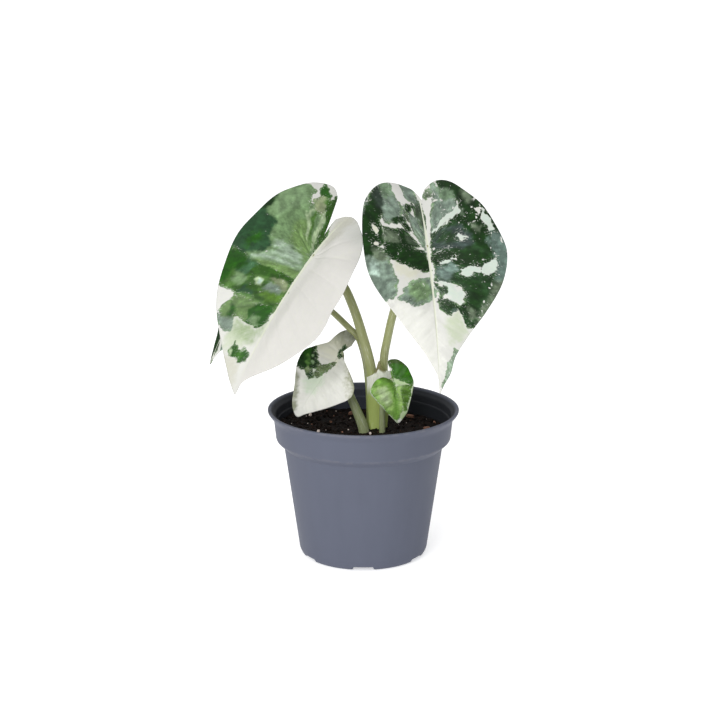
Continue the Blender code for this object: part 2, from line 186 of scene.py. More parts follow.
def noise(points, seed=0):
    """Value noise from -1 to 1: each whole-number cell corner holds a hashed number, and a point
    blends its cell's corners by the smooth step 3t^2 - 2t^3 of its place along each axis."""
    base = np.floor(points).astype(np.int64)
    part = points - base
    step = part * part * (3.0 - 2.0 * part)
    total = np.zeros(points.shape[:-1])
    for corner in itertools.product((0, 1), repeat=points.shape[-1]):
        near = np.array(corner)
        total += np.prod(np.where(near, step, 1.0 - step), axis=-1) * hashed(base + near, seed)
    return 2.0 * total - 1.0


def fractal(points, octaves, seed=0):
    """Sum of noise at doubling frequencies and halving heights."""
    return sum(noise(points * 2.0 ** k, seed + k) * 0.5 ** k for k in range(octaves))


def smoothstep(low, high, values):
    """0 below low, 1 above high and 3t^2 - 2t^3 between them."""
    t = np.clip((values - low) / (high - low), 0.0, 1.0)
    return t * t * (3.0 - 2.0 * t)


def mix(first, second, share):
    """First where the share is 0 and second where it is 1; the share may be one per row."""
    first, second = np.asarray(first, float), np.asarray(second, float)
    share = np.asarray(share, float)
    if first.ndim > share.ndim or second.ndim > share.ndim:
        share = share[..., None]
    return first * (1.0 - share) + second * share


def unit(vectors):
    """Vectors scaled to length 1."""
    return vectors / np.linalg.norm(vectors, axis=-1, keepdims=True)


def spun(points, angle):
    """Points turned about Z by an angle: x' = x cos - y sin, y' = x sin + y cos."""
    c, s = np.cos(angle), np.sin(angle)
    x, y = points[..., 0], points[..., 1]
    return np.stack([c * x - s * y, s * x + c * y, points[..., 2]], axis=-1)


def curve_through(points, count):
    """Catmull-Rom curve through the points, as count samples evenly spaced along it."""
    pts = np.asarray(points, float)
    pts = np.vstack([2 * pts[0] - pts[1], pts, 2 * pts[-1] - pts[-2]])
    t = np.linspace(0.0, 1.0, 24, endpoint=False)[None, :, None]
    a, b, c, d = (pts[k:len(pts) - 3 + k, None, :] for k in range(4))
    fine = 0.5 * (2 * b + (c - a) * t + (2 * a - 5 * b + 4 * c - d) * t ** 2
                  + (3 * b - a - 3 * c + d) * t ** 3)
    fine = np.vstack([fine.reshape(-1, pts.shape[1]), pts[-2]])
    lengths = np.linalg.norm(np.diff(fine[:, :3], axis=0), axis=1)
    run = np.concatenate([[0.0], np.cumsum(lengths)])
    want = np.linspace(0.0, run[-1], count)
    return np.stack([np.interp(want, run, column) for column in fine.T], axis=-1)


# ------------------------------------------------------------------ meshes

def grid_quads(rows, columns, wrap=False):
    """Corners of the quads of a grid whose vertices are numbered row by row; wrap joins the last
    column to the first."""
    i, j = np.meshgrid(np.arange(rows - 1), np.arange(columns if wrap else columns - 1),
                       indexing="ij")
    k = (j + 1) % columns
    return np.stack([i * columns + j, (i + 1) * columns + j,
                     (i + 1) * columns + k, i * columns + k], axis=-1).reshape(-1, 4)


def add_piece(name, points, faces, material, replaced):
    """A smooth object in the scene from vertices and arrays of equally long faces."""
    mesh = bpy.data.meshes.new(name)
    corners = np.concatenate([f.ravel() for f in faces])
    sizes = np.concatenate([np.full(len(f), f.shape[1]) for f in faces])
    mesh.vertices.add(len(points))
    mesh.vertices.foreach_set("co", np.asarray(points, np.float32).ravel())
    mesh.loops.add(len(corners))
    mesh.loops.foreach_set("vertex_index", corners.astype(np.int32))
    mesh.polygons.add(len(sizes))
    mesh.polygons.foreach_set("loop_start", (np.cumsum(sizes) - sizes).astype(np.int32))
    mesh.update(calc_edges=True)
    mesh.shade_smooth()
    mesh.materials.append(material)
    piece = bpy.data.objects.new(name, mesh)
    bpy.context.scene.collection.objects.link(piece)
    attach(piece, BODY)
    if replaced:
        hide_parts(*replaced)
    return piece


def add_values(piece, name, values):
    """Store one number, vector or colour per vertex under a name that a material reads."""
    values = np.asarray(values, np.float32)
    if values.ndim == 1:
        layer = piece.data.attributes.new(name, "FLOAT", "POINT")
        layer.data.foreach_set("value", values)
    else:
        layer = piece.data.attributes.new(name, "FLOAT_COLOR", "POINT")
        layer.data.foreach_set("color", np.c_[values, np.ones(len(values))].ravel())


def turned_surface(profile, sides):
    """Grid of a body turned round Z, and the angle of each column. The profile's (radius, height)
    points start and end on the axis: those two are left out, and each other one is a row."""
    profile = np.asarray(profile, float)
    angle = np.arange(sides) * (math.tau / sides)
    ring = profile[1:-1]
    radius, height = ring[:, None, 0], np.repeat(ring[:, None, 1], sides, axis=1)
    grid = np.stack([radius * np.cos(angle), radius * np.sin(angle), height], axis=-1)
    return grid, angle


def close_rows(grid, first, last):
    """Points and faces of a grid that wraps in its columns, with a pole at each end."""
    rows, columns = grid.shape[:2]
    points = np.vstack([grid.reshape(-1, 3), first, last])
    quads = grid_quads(rows, columns, wrap=True)[:, ::-1]
    j = np.arange(columns)
    k = (j + 1) % columns
    start = np.stack([np.full(columns, rows * columns), k, j], axis=-1)
    top = (rows - 1) * columns
    end = np.stack([np.full(columns, rows * columns + 1), top + j, top + k], axis=-1)
    return points, [quads, start, end]


def joined(copies, faces):
    """Points and faces of many bodies as one: each row of copies holds one body's points."""
    shift = (np.arange(len(copies)) * copies.shape[1])[:, None, None]
    return copies.reshape(-1, 3), [(f[None] + shift).reshape(-1, f.shape[1]) for f in faces]


# ------------------------------------------------------------------ materials

class Nodes:
    """Short words for building a material's nodes around one Principled shader."""

    def __init__(self, name, roughness, **sockets):
        self.material = bpy.data.materials.new(name)
        self.material.use_nodes = True
        self.tree = self.material.node_tree
        self.shader = self.tree.nodes["Principled BSDF"]
        self.shader.inputs["Roughness"].default_value = roughness
        for socket, value in sockets.items():
            self.shader.inputs[socket.replace("_", " ")].default_value = value

    def put(self, socket, value):
        """Link an output, or set a number or colour, on an input socket."""
        if isinstance(value, bpy.types.NodeSocket):
            self.tree.links.new(value, socket)
        elif hasattr(socket.default_value, "__len__") and hasattr(value, "__len__"):
            size = len(socket.default_value)
            socket.default_value = tuple(value) + (1.0,) * (size - len(value))
        else:
            socket.default_value = value

    def node(self, kind, output, inputs=None, **settings):
        """A node with its settings and inputs; gives the named output."""
        made = self.tree.nodes.new(kind)
        for key, value in settings.items():
            setattr(made, key, value)
        for key, value in (inputs or {}).items():
            self.put(made.inputs[key], value)
        return made.outputs[output]

    def place(self, scale=(1.0, 1.0, 1.0)):
        """Object coordinates, stretched."""
        where = self.node("ShaderNodeTexCoord", "Object")
        return self.node("ShaderNodeMapping", "Vector", {"Vector": where, "Scale": scale})

    def attribute(self, name, output="Fac"):
        """A value stored on the mesh."""
        return self.node("ShaderNodeAttribute", output, attribute_name=name)

    def noise(self, vector, scale, detail=3.0, roughness=0.55):
        """Fractal noise with features of about 1 / scale metres."""
        return self.node("ShaderNodeTexNoise", "Fac", {
            "Vector": vector, "Scale": scale, "Detail": detail, "Roughness": roughness})

    def cells(self, vector, scale, feature="F1"):
        """Distance within cells of about 1 / scale metres: to the nearest point, or to the edge."""
        return self.node("ShaderNodeTexVoronoi", "Distance", {"Vector": vector, "Scale": scale},
                         feature=feature)

    def maths(self, operation, first, second=0.0, third=0.0):
        """One arithmetic step."""
        made = self.tree.nodes.new("ShaderNodeMath")
        made.operation = operation
        for socket, value in zip(made.inputs, (first, second, third)):
            self.put(socket, value)
        return made.outputs["Value"]

    def step(self, value, low, high, to_low=0.0, to_high=1.0):
        """Smooth step of a value between two limits."""
        return self.node("ShaderNodeMapRange", "Result", {
            "Value": value, "From Min": low, "From Max": high,
            "To Min": to_low, "To Max": to_high}, interpolation_type="SMOOTHSTEP")

    def blend(self, first, second, share, mode="MIX"):
        """Two colours mixed by a share."""
        made = self.tree.nodes.new("ShaderNodeMix")
        made.data_type = "RGBA"
        made.blend_type = mode
        self.put(made.inputs["Factor"], share)
        self.put(made.inputs[6], first)
        self.put(made.inputs[7], second)
        return made.outputs[2]

    def dim(self, colour, tone):
        """A colour multiplied by a grey tone."""
        grey = self.node("ShaderNodeCombineColor", "Color", {
            "Red": tone, "Green": tone, "Blue": tone})
        return self.blend(colour, grey, 1.0, "MULTIPLY")

    def finish(self, colour, bump=None, strength=0.3, depth=0.0002, roughness=None):
        """Connect colour, bump and roughness to the shader, and give the material."""
        self.put(self.shader.inputs["Base Color"], colour)
        if roughness is not None:
            self.put(self.shader.inputs["Roughness"], roughness)
        if bump is not None:
            normal = self.node("ShaderNodeBump", "Normal", {
                "Height": bump, "Strength": strength, "Distance": depth})
            self.put(self.shader.inputs["Normal"], normal)
        return self.material


def moulded_plastic(pot):
    """Matt thermoformed plastic with a painted shade inside, lighter at the back: faint vertical
    draw marks, a fine pebbled skin and dusty scuffs along the rim and the step."""
    n = Nodes("slate_plastic", 0.55, Specular_IOR_Level=0.1)
    where = n.place()
    draw = n.noise(n.place((1.0, 1.0, 0.08)), 120.0, 4.0)
    cloud = n.noise(where, 22.0, 4.0)
    shade = n.maths("ADD", n.maths("MULTIPLY", draw, 0.10), n.maths("MULTIPLY", cloud, 0.16))
    colour = n.dim(pot.plastic, n.maths("ADD", shade, 0.87))
    dust = n.maths("MULTIPLY", n.attribute("wear"), n.step(n.noise(where, 260.0, 5.0), 0.38, 0.66))
    colour = n.blend(colour, pot.scuff, n.maths("MULTIPLY", dust, 0.4))
    # painted shade darkens the inner wall, less at the back where it is painted lit
    colour = n.blend(colour, linear(42, 44, 49), n.attribute("inside"))
    pebble = n.noise(where, 1800.0, 2.0)
    rough = n.step(cloud, 0.3, 0.7, 0.46, 0.58)
    return n.finish(colour, pebble, 0.12, 0.0001, rough)


def moist_peat(soil):
    """Black peat with brown fibres and a damp sheen in the hollows."""
    n = Nodes("moist_peat", 0.9, Specular_IOR_Level=0.12)
    where = n.place()
    grain = n.noise(where, 900.0, 5.0, 0.7)
    clod = n.noise(where, 180.0, 4.0)
    fibre = n.noise(n.place((1.0, 0.35, 1.0)), 700.0, 3.0)
    colour = n.blend((0.006, 0.0045, 0.004), soil.peat, n.step(clod, 0.35, 0.65))
    colour = n.blend(colour, soil.fibre, n.step(fibre, 0.62, 0.72, 0.0, 0.65))
    return n.finish(colour, grain, 0.6, 0.0006, n.step(grain, 0.3, 0.7, 0.6, 0.95))


def bark_chip():
    """Reddish brown bark with darker and paler grain running along the chip."""
    n = Nodes("bark", 0.85)
    grain = n.noise(n.attribute("grain", "Vector"), 9.0, 5.0, 0.65)
    colour = n.blend(linear(52, 30, 20), linear(164, 118, 96), n.step(grain, 0.32, 0.66))
    colour = n.blend(colour, linear(216, 186, 170), n.step(grain, 0.6, 0.74, 0.0, 0.8))
    return n.finish(colour, grain, 0.7, 0.0005)


def perlite_grain():
    """Chalky white glass foam with small dark pores and peat stains."""
    n = Nodes("perlite", 0.92)
    where = n.place()
    pores = n.cells(where, 2600.0)
    stain = n.noise(where, 700.0, 3.0)
    colour = n.blend(linear(222, 208, 200), linear(136, 108, 92), n.step(stain, 0.52, 0.75))
    colour = n.blend(linear(120, 112, 104), colour, n.step(pores, 0.05, 0.25))
    return n.finish(colour, pores, 0.5, 0.0003)


def corm_skin():
    """Fibrous brown tuber skin, ringed by old leaf scars."""
    n = Nodes("corm_skin", 0.8)
    rings = n.noise(n.place((0.3, 0.3, 3.0)), 220.0, 4.0)
    fibre = n.noise(n.place((3.0, 3.0, 0.4)), 500.0, 4.0)
    colour = n.blend(linear(70, 46, 30), linear(150, 112, 76), n.step(rings, 0.35, 0.65))
    colour = n.blend(colour, linear(190, 156, 116), n.step(fibre, 0.6, 0.75, 0.0, 0.6))
    return n.finish(colour, fibre, 0.6, 0.0005)


def leaf_tissue(name, leaf):
    """Waxy blade: stored green and pale colours, parted by a stored border whose fine edge is
    ragged along the veins, with a net of small veins and a cellular skin."""
    n = Nodes(name, 0.45, Specular_IOR_Level=0.18)
    where = n.place()
    along_veins = n.attribute("vein_map", "Vector")
    ragged = n.noise(along_veins, 0.9, 4.0, 0.7)
    border = n.maths("MULTIPLY_ADD", n.maths("SUBTRACT", ragged, 0.5), 2.6, n.attribute("border"))
    green_share = n.step(border, -0.3, 0.3)
    fringe = n.maths("MULTIPLY", n.step(border, 3.2, 0.5), n.attribute("speckled"))
    speck = n.step(n.noise(along_veins, 2.4, 3.0), 0.56, 0.66)
    green_share = n.maths("MULTIPLY", green_share, n.maths(
        "MULTIPLY_ADD", n.maths("MULTIPLY", fringe, speck), -0.7, 1.0))
    net = n.cells(along_veins, 0.55, "DISTANCE_TO_EDGE")
    fine = n.noise(where, 900.0, 3.0)
    green = n.attribute("green_colour", "Color")
    mottle = n.maths("MULTIPLY_ADD", fine, 0.44, 0.78)
    mottle = n.maths("MULTIPLY", mottle, n.maths("MULTIPLY_ADD", ragged, 0.5, 0.75))
    mottle = n.maths("MULTIPLY", mottle, n.step(net, 0.0, 0.12, 1.06, 1.0))
    green = n.dim(green, mottle)
    pale = n.blend(n.attribute("pale_colour", "Color"), leaf.cream,
                   n.step(net, 0.06, 0.0, 0.0, 0.18))
    colour = n.blend(pale, green, green_share)
    skin = n.noise(where, 2400.0, 2.0)
    return n.finish(colour, skin, 0.10, 0.0001, n.step(fine, 0.3, 0.7, 0.36, 0.5))


def stalk_skin(name, foot, upper, blush):
    """Smooth stalk: upper colour fading to the foot's, with faint streaks along it."""
    n = Nodes(name, 0.4)
    streaks = n.noise(n.attribute("stalk_map", "Vector"), 5.0, 4.0)
    fine = n.noise(n.place(), 900.0, 3.0)
    colour = n.blend(foot, upper, n.attribute("upper"))
    colour = n.blend(colour, blush, n.step(streaks, 0.5, 0.75, 0.0, 0.35))
    colour = n.blend(colour, linear(112, 124, 76), n.step(streaks, 0.44, 0.3, 0.0, 0.3))
    colour = n.dim(colour, n.maths("MULTIPLY_ADD", fine, 0.2, 0.9))
    return n.finish(colour, streaks, 0.15, 0.0002)


def sheath_skin(stalk):
    """Pale sheath with fine ribs, green at its foot and drying to olive along its free edge."""
    n = Nodes("sheath", 0.5)
    ribs = n.noise(n.attribute("stalk_map", "Vector"), 6.0, 4.0)
    pale = n.blend(linear(238, 240, 228), linear(216, 220, 202), n.step(ribs, 0.35, 0.7))
    up = n.attribute("dry")
    colour = n.blend(stalk.lime, pale, n.step(up, 0.48, 0.74))
    edge = n.maths("MULTIPLY_ADD", n.maths("SUBTRACT", ribs, 0.5), 0.12, up)
    colour = n.blend(colour, linear(118, 116, 74), n.step(edge, 0.95, 0.995))
    return n.finish(colour, ribs, 0.2, 0.0002)


def white_floor(stage):
    """Pale matt studio floor, lit a little from below so that it stays white far away."""
    n = Nodes("studio_floor", 0.9, Emission_Color=(1.0, 1.0, 1.0, 1.0), Emission_Strength=0.5)
    return n.finish(stage.floor)


# ------------------------------------------------------------------ pot

RIM_TOP = 94.0
RIM_RADIUS = 60.0
COLLAR_TOP_RADIUS = 56.4
COLLAR_LOW_RADIUS = 55.2
COLLAR_LOW = RIM_TOP - 18.0
STEP_FOOT = RIM_TOP - 23.2
BODY_TOP_RADIUS = 50.0
BODY_LOW_RADIUS = 40.5
BODY_FOOT = 4.0
WALL = 1.3
FOOT_HEIGHT = 2.0
FOOT_RING_INSIDE = 34.4
NOTCH_HEIGHT = 2.5
POT_FLOOR = 3.6
NOTCH_COUNT = 6
NOTCH_RADIUS = 37.5
NOTCH_EDGE = 0.5
DRAIN_RADIUS = 4.0
DRAIN_CIRCLE = 27.0
DRAIN_SIDES = 32
CUTTER_EXTRA = 1.5
# share of the inner wall's painted shade taken off at the back, as painted light
BACK_LIGHT = 0.62


def body_radius(z):
    """Outer radius of the tapered body, straight from its foot to the step."""
    share = (z - BODY_FOOT) / (STEP_FOOT - BODY_FOOT)
    return BODY_LOW_RADIUS + (BODY_TOP_RADIUS - BODY_LOW_RADIUS) * share


def rounded(corners, steps=6):
    """A profile whose corners (radius, height, rounding) become arcs: each is a quadratic curve
    between the points that lie the rounding away from it on its two sides."""
    pts = np.asarray(corners, float)
    before = unit(pts[:-2, :2] - pts[1:-1, :2])
    after = unit(pts[2:, :2] - pts[1:-1, :2])
    mid, size = pts[1:-1, None, :2], pts[1:-1, 2, None, None]
    t = np.linspace(0.0, 1.0, steps)[None, :, None]
    arcs = mid + size * (before[:, None] * (1 - t) ** 2 + after[:, None] * t ** 2)
    return np.vstack([pts[0, :2], arcs.reshape(-1, 2), pts[-1, :2]])


def split_long(profile, longest):
    """The same profile with points added so that no stretch is longer than given."""
    parts = [profile[:1]]
    for start, end in zip(profile[:-1], profile[1:]):
        count = max(1, int(np.ceil(np.linalg.norm(end - start) / longest)))
        share = np.linspace(0.0, 1.0, count + 1)[1:, None]
        parts.append(start + (end - start) * share)
    return np.vstack(parts)


def pot_profile():
    """Corners of the pot's section from the middle of its underside, up the outside, over the
    rim and down the inside to the middle of its floor."""
    corners = [
        (0.0, 0.0, 0), (13.0, 0.0, 0.5), (14.2, FOOT_HEIGHT, 0.5), (34.2, FOOT_HEIGHT, 0.4),
        (35.0, 0.0, 0.4), (38.6, 0.0, 1.6), (body_radius(3.2), 3.2, 1.5),
        (body_radius(STEP_FOOT), STEP_FOOT, 0.5), (COLLAR_LOW_RADIUS - 0.3, COLLAR_LOW - 0.8, 1.1),
        (COLLAR_TOP_RADIUS - 0.1, RIM_TOP - 5.6, 1.6), (RIM_RADIUS - 0.8, RIM_TOP - 2.2, 0.7),
        (RIM_RADIUS, RIM_TOP - 1.0, 0.5), (RIM_RADIUS, RIM_TOP, 0.5), (58.2, RIM_TOP, 0.5),
        (COLLAR_TOP_RADIUS + 0.2, 92.0, 0.6),
        (55.0, 90.6, 0.7), (54.6, 86.2, 0.35), (53.9, 85.6, 0.3), (53.7, 76.6, 0.8),
        (52.9, 75.2, 0.8), (49.4, 72.7, 0.8), (48.7, 71.2, 0.8),
        (body_radius(5.2) - WALL, 5.2, 0.8), (body_radius(POT_FLOOR) - WALL - 1.2, POT_FLOOR, 0.6),
        (0.0, POT_FLOOR, 0),
    ]
    return split_long(rounded(corners), 2.5)


class ALOCASIA_OT_pot(bpy.types.Operator):
    """Turn the pot's section, raise the notches in its foot ring and cut its drain holes"""
    bl_idname = "alocasia.pot"
    bl_label = "Pot"

    def execute(self, context):
        pot = context.scene.alocasia_pot
        profile = pot_profile()
        grid, angle = turned_surface(profile, pot.sides)
        radius = np.hypot(grid[..., 0], grid[..., 1])
        across = ((angle + math.pi / 2) * NOTCH_COUNT / math.tau + 0.5) % 1.0 - 0.5
        across = np.abs(across) * (math.tau / NOTCH_COUNT) * NOTCH_RADIUS
        half = pot.notch_width / MM / 2
        open_here = smoothstep(half + NOTCH_EDGE, half - NOTCH_EDGE, across)[None, :]
        open_here = open_here * (radius > FOOT_RING_INSIDE)
        grid[..., 2] = np.maximum(grid[..., 2], NOTCH_HEIGHT * open_here)
        points, faces = close_rows(grid, (0, 0, profile[0, 1]), (0, 0, profile[-1, 1]))
        piece = add_piece("pot_shell", points * MM, faces, moulded_plastic(pot),
                          ["pot"])
        self.mark(piece, points, profile, pot.sides)
        self.drill(context, piece)
        return {"FINISHED"}

    def mark(self, piece, points, profile, sides):
        """Store where the pot is worn, along its rim and step, and how much painted shade each point
        of its inside takes: least at the back, where a painted light falls on the wall."""
        x, y, z = points.T
        r = np.hypot(x, y)
        wear = smoothstep(1.6, 0.4, np.abs(z - (RIM_TOP - 0.6)) + 0.4 * np.abs(r - 59.0))
        wear = np.maximum(wear, 0.6 * smoothstep(1.4, 0.3, np.abs(z - COLLAR_LOW + 1.0)) * (r > 53))
        add_values(piece, "wear", wear)
        heights = profile[1:-1, 1]
        past_rim = np.arange(len(heights)) > heights.argmax()
        past_rim = np.concatenate([np.repeat(past_rim, sides), [False, True]])
        # painted light at the back of the inner wall, lifting its painted shade
        painted_back_light = BACK_LIGHT * smoothstep(0.8, 1.0, y / np.maximum(r, 1.0))
        add_values(piece, "inside", past_rim * smoothstep(58.6, 56.8, r) * (1.0 - painted_back_light))

    def drill(self, context, piece):
        """Cut the drain holes through the base plate with short cylinders."""
        spots = np.arange(NOTCH_COUNT) * (math.tau / NOTCH_COUNT) - math.pi / 2
        side = np.arange(DRAIN_SIDES) * (math.tau / DRAIN_SIDES)
        height = np.array([FOOT_HEIGHT - CUTTER_EXTRA, POT_FLOOR + CUTTER_EXTRA])[:, None]
        tube = np.stack(np.broadcast_arrays(DRAIN_RADIUS * np.cos(side),
                                            DRAIN_RADIUS * np.sin(side), height), axis=-1)
        points, faces = close_rows(tube, (0, 0, height[0, 0]), (0, 0, height[1, 0]))
        moves = DRAIN_CIRCLE * np.stack([np.cos(spots), np.sin(spots), 0 * spots], axis=-1)
        points, faces = joined(points + moves[:, None], faces)
        cutter = add_piece("drain_cutter", points * MM, faces, piece.data.materials[0],
                           [])
        cut = piece.modifiers.new("drain_holes", "BOOLEAN")
        cut.object = cutter
        cut.operation = "DIFFERENCE"
        cut.solver = "EXACT"
        with context.temp_override(object=piece):
            bpy.ops.object.modifier_apply(modifier=cut.name)
        bpy.data.objects.remove(cutter, do_unlink=True)


# ------------------------------------------------------------------ soil

SOIL_TOP = 78.0
SOIL_BOTTOM = POT_FLOOR + 0.35
SOIL_RADIUS = 53.4
SOIL_SIDES = 300
SOIL_RINGS = 109
SOIL_RISE = 4.5
RISE_START = 5.0
RISE_RUN = 45.0
SCATTER_RADIUS = 52.0
GOLDEN_ANGLE = 2.399963
PLANT_CENTRE = (7.0, 1.5)
MOUND_HEIGHT = 2.4
MOUND_FOOT = 22.0
MOUND_CROWN = 9.0


def surface_rise(x):
    """Height that the soil gains towards the left at x: half a cosine wave."""
    share = np.clip((-x - RISE_START) / RISE_RUN, 0.0, 1.0)
    return SOIL_RISE * (1.0 - np.cos(math.pi * share)) / 2.0


def soil_height(x, y, relief):
    """Height of the soil: the level, its rise to the left, clods from fractal noise, and a low
    mound round the stalks."""
    flat = np.stack([x, y], axis=-1)
    clods = fractal(flat / 7.0, 5, seed=3) + 0.55 * fractal(flat / 2.2, 3, seed=11)
    away = np.hypot(x - PLANT_CENTRE[0], y - PLANT_CENTRE[1])
    mound = MOUND_HEIGHT * smoothstep(MOUND_FOOT, MOUND_CROWN, away)
    return SOIL_TOP + surface_rise(x) + 0.5 * relief * clods + mound


class ALOCASIA_OT_soil(bpy.types.Operator):
    """Fill the pot with soil that has a cloddy surface, and scatter crumbs on it"""
    bl_idname = "alocasia.soil"
    bl_label = "Soil"

    def execute(self, context):
        soil = context.scene.alocasia_soil
        relief = soil.relief / MM
        material = moist_peat(soil)
        wall = [(body_radius(POT_FLOOR) - WALL - 1.6, SOIL_BOTTOM),
                (body_radius(5.2) - WALL - 0.35, 5.6), (48.35, 71.4), (49.0, 73.0),
                (52.5, 75.5), (53.3, 76.9), (SOIL_RADIUS, SOIL_TOP - 0.6)]
        rings = np.linspace(SOIL_RADIUS, 0.0, SOIL_RINGS + 1)[1:]
        profile = np.vstack([[(0.0, SOIL_BOTTOM)], split_long(np.array(wall), 6.0),
                             np.stack([rings, np.full(len(rings), SOIL_TOP)], axis=-1)])
        grid, _ = turned_surface(profile, SOIL_SIDES)
        top = len(grid) - len(rings)
        x, y = grid[top:, :, 0], grid[top:, :, 1]
        grid[top:, :, 2] = soil_height(x, y, relief)
        centre = soil_height(np.zeros(1), np.zeros(1), relief)[0]
        points, faces = close_rows(grid, (0, 0, SOIL_BOTTOM), (0, 0, centre))
        add_piece("soil_body", points * MM, faces, material, ["soil"])
        self.scatter(soil, relief, material)
        return {"FINISHED"}

    def scatter(self, soil, relief, material):
        """Crumbs of peat, specks of perlite and shreds of bark, loose on the surface."""
        crumbs = lumps(soil.crumbs, 0.45, 1.5, relief, seed=5)
        add_piece("soil_crumbs", crumbs[0] * MM, crumbs[1], material, [])
        specks = lumps(soil.specks, 0.4, 1.1, relief, seed=77)
        add_piece("perlite_specks", specks[0] * MM, specks[1], perlite_grain(), [])
        shreds = lumps(soil.specks // 2, 0.5, 1.7, relief, seed=41)
        piece = add_piece("bark_shreds", shreds[0] * MM, shreds[1], bark_chip(), [])
        add_values(piece, "grain", shreds[0] * 0.09)


def ball(rows, columns):
    """Unit ball as directions on a grid of latitude rows and longitude columns."""
    polar = np.linspace(0.0, math.pi, rows + 2)[1:-1, None]
    turn = (np.arange(columns) * (math.tau / columns))[None, :]
    grid = np.stack(np.broadcast_arrays(np.sin(polar) * np.cos(turn), np.sin(polar) * np.sin(turn),
                                        -np.cos(polar)), axis=-1)
    return close_rows(grid, (0, 0, -1), (0, 0, 1))


def lumps(count, smallest, largest, relief, seed):
    """Many small lumps resting on the soil, as one set of points and faces.

    Each is a small ball stretched and dented by hashed numbers. The golden angle spreads them
    evenly over the disc, and the numbers push them about."""
    shape, faces = ball(3, 6)
    index = np.arange(count)
    numbers = hashed_table(count, 6, seed)
    radius = SCATTER_RADIUS * np.sqrt((index + 0.5) / count)
    turn = index * GOLDEN_ANGLE + numbers[:, 0] * 1.2
    x, y = radius * np.cos(turn), radius * np.sin(turn)
    size = smallest + (largest - smallest) * numbers[:, 1] ** 3
    stretch = size[:, None] * (0.6 + 0.6 * numbers[:, 2:5])
    push = hashed_table(count, len(shape), seed + 1, first=9)
    body = shape[None] * (0.7 + 0.5 * push[..., None]) * stretch[:, None]
    turned = spun(body, numbers[:, 5, None] * math.tau)
    place = np.stack([x, y, soil_height(x, y, relief) + 0.25 * size], axis=-1)
    return joined(turned + place[:, None], faces)


# ------------------------------------------------------------------ loose chips and grains

def node_box(node):
    """Middle and size of a node's box, in millimetres."""
    low, high = (np.array(corner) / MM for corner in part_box(node))
    return (low + high) / 2, high - low


def fit_to_box(shape, node):
    """Stretch and move a shape so that it fills the node's box."""
    middle, size = node_box(node)
    low, high = shape.min(0), shape.max(0)
    return (shape - (low + high) / 2) / (high - low) * size + middle


CHIP_TURNS = (20, 75, 130, 40, 100, 15, 150, 60)
GRAIN_COUNT = 8


class ALOCASIA_OT_litter(bpy.types.Operator):
    """Lay the bark chips and perlite grains on the soil"""
    bl_idname = "alocasia.litter"
    bl_label = "Bark and perlite"

    def execute(self, context):
        bark, chalk = bark_chip(), perlite_grain()
        for i, degrees in enumerate(CHIP_TURNS):
            shape, faces = ball(22, 36)
            split = np.sign(shape) * np.abs(shape) ** 0.55
            grain = split * (1.0, 7.0, 7.0)
            rough = fractal(grain * 0.8 + 13.0 * i, 4, seed=21 + i)
            body = split * (1.0 + 0.14 * rough[:, None]) * (1.0, 0.5, 0.3)
            body = spun(body, math.radians(degrees))
            node = f"bark_chip_{i + 1}"
            piece = add_piece(f"{node}_splinter", fit_to_box(body, node) * MM, faces, bark,
                              [node])
            add_values(piece, "grain", grain * (0.12, 0.25, 0.25) + i)
        for i in range(GRAIN_COUNT):
            shape, faces = ball(20, 28)
            popped = np.abs(fractal(shape * 1.7 + 7.0 * i, 4, seed=51 + i))
            body = shape * (0.75 + 0.45 * popped[:, None])
            node = f"perlite_{i + 1}"
            add_piece(f"{node}_grain", fit_to_box(body, node) * MM, faces, chalk, [node])
        return {"FINISHED"}


class ALOCASIA_OT_corm(bpy.types.Operator):
    """Make the corm under the soil, ringed by old leaf scars"""
    bl_idname = "alocasia.corm"
    bl_label = "Corm"

    def execute(self, context):
        shape, faces = ball(60, 90)
        turn = np.arctan2(shape[:, 1], shape[:, 0])
        rings = 0.025 * np.abs(np.sin(shape[:, 2] * 11.0 + 0.4 * np.sin(3 * turn)))
        lumpy = 0.05 * fractal(shape * 3.0, 4, seed=31)
        swell = (1.0 + rings + lumpy)[:, None]
        body = np.c_[shape[:, :2], np.clip(shape[:, 2], -1.0, 0.8)] * swell
        add_piece("corm_tuber", fit_to_box(body, "corm") * MM, faces, corm_skin(),
                  ["corm"])
        return {"FINISHED"}


# ------------------------------------------------------------------ leaf plans

@dataclass
class LeafPlan:
    """A blade's place, the way it hangs, its outline and its colour patches, in millimetres and
    degrees. Outline and patches are (a, b) points: a runs down the midrib from the joint with
    the stalk, b across it, with negative b on the left lobe. A patch is a tone, its corners and,
    where its edge is softer or crisper than most, a softness.

    Of the other numbers, dome is how far each half swells, wave how far the margin waves, ragged
    how far the patches' edges are pushed about, grow how far green patches spread, speckled how
    much their edges are specked with pale, marble how much the green varies, flecks how rare pale
    flecks are in it, and rib_tint how cream the midrib is."""
    name: str
    slot: str
    joint: tuple
    tip: tuple
    roll: float
    fold: float
    bend: float
    bend_back: float
    left: list
    right: list
    rays: int
    rings: int
    slit: bool = False
    sinus_bulge: float = 0.0
    dome: tuple = (1.5, 1.5)
    wave: float = 0.8
    vein_gap: float = 12.0
    rib_width: float = 2.2
    ragged: float = 1.0
    grow: float = 0.6
    speckled: float = 1.0
    marble: float = 0.2
    flecks: float = 2.0
    rib_tint: float = 1.0
    patches: list = field(default_factory=list)


STUDIO_LIGHT = 1.2
STUDIO_GLOSS = 0.008
DARKEST = 0.002


def seen(red, green, blue):
    """Linear colour of tissue that looks like this display colour in the studio's light, which
    is a fifth brighter than one on the blades and adds a little gloss."""
    return tuple(max(v - STUDIO_GLOSS, DARKEST) / STUDIO_LIGHT for v in linear(red, green, blue))


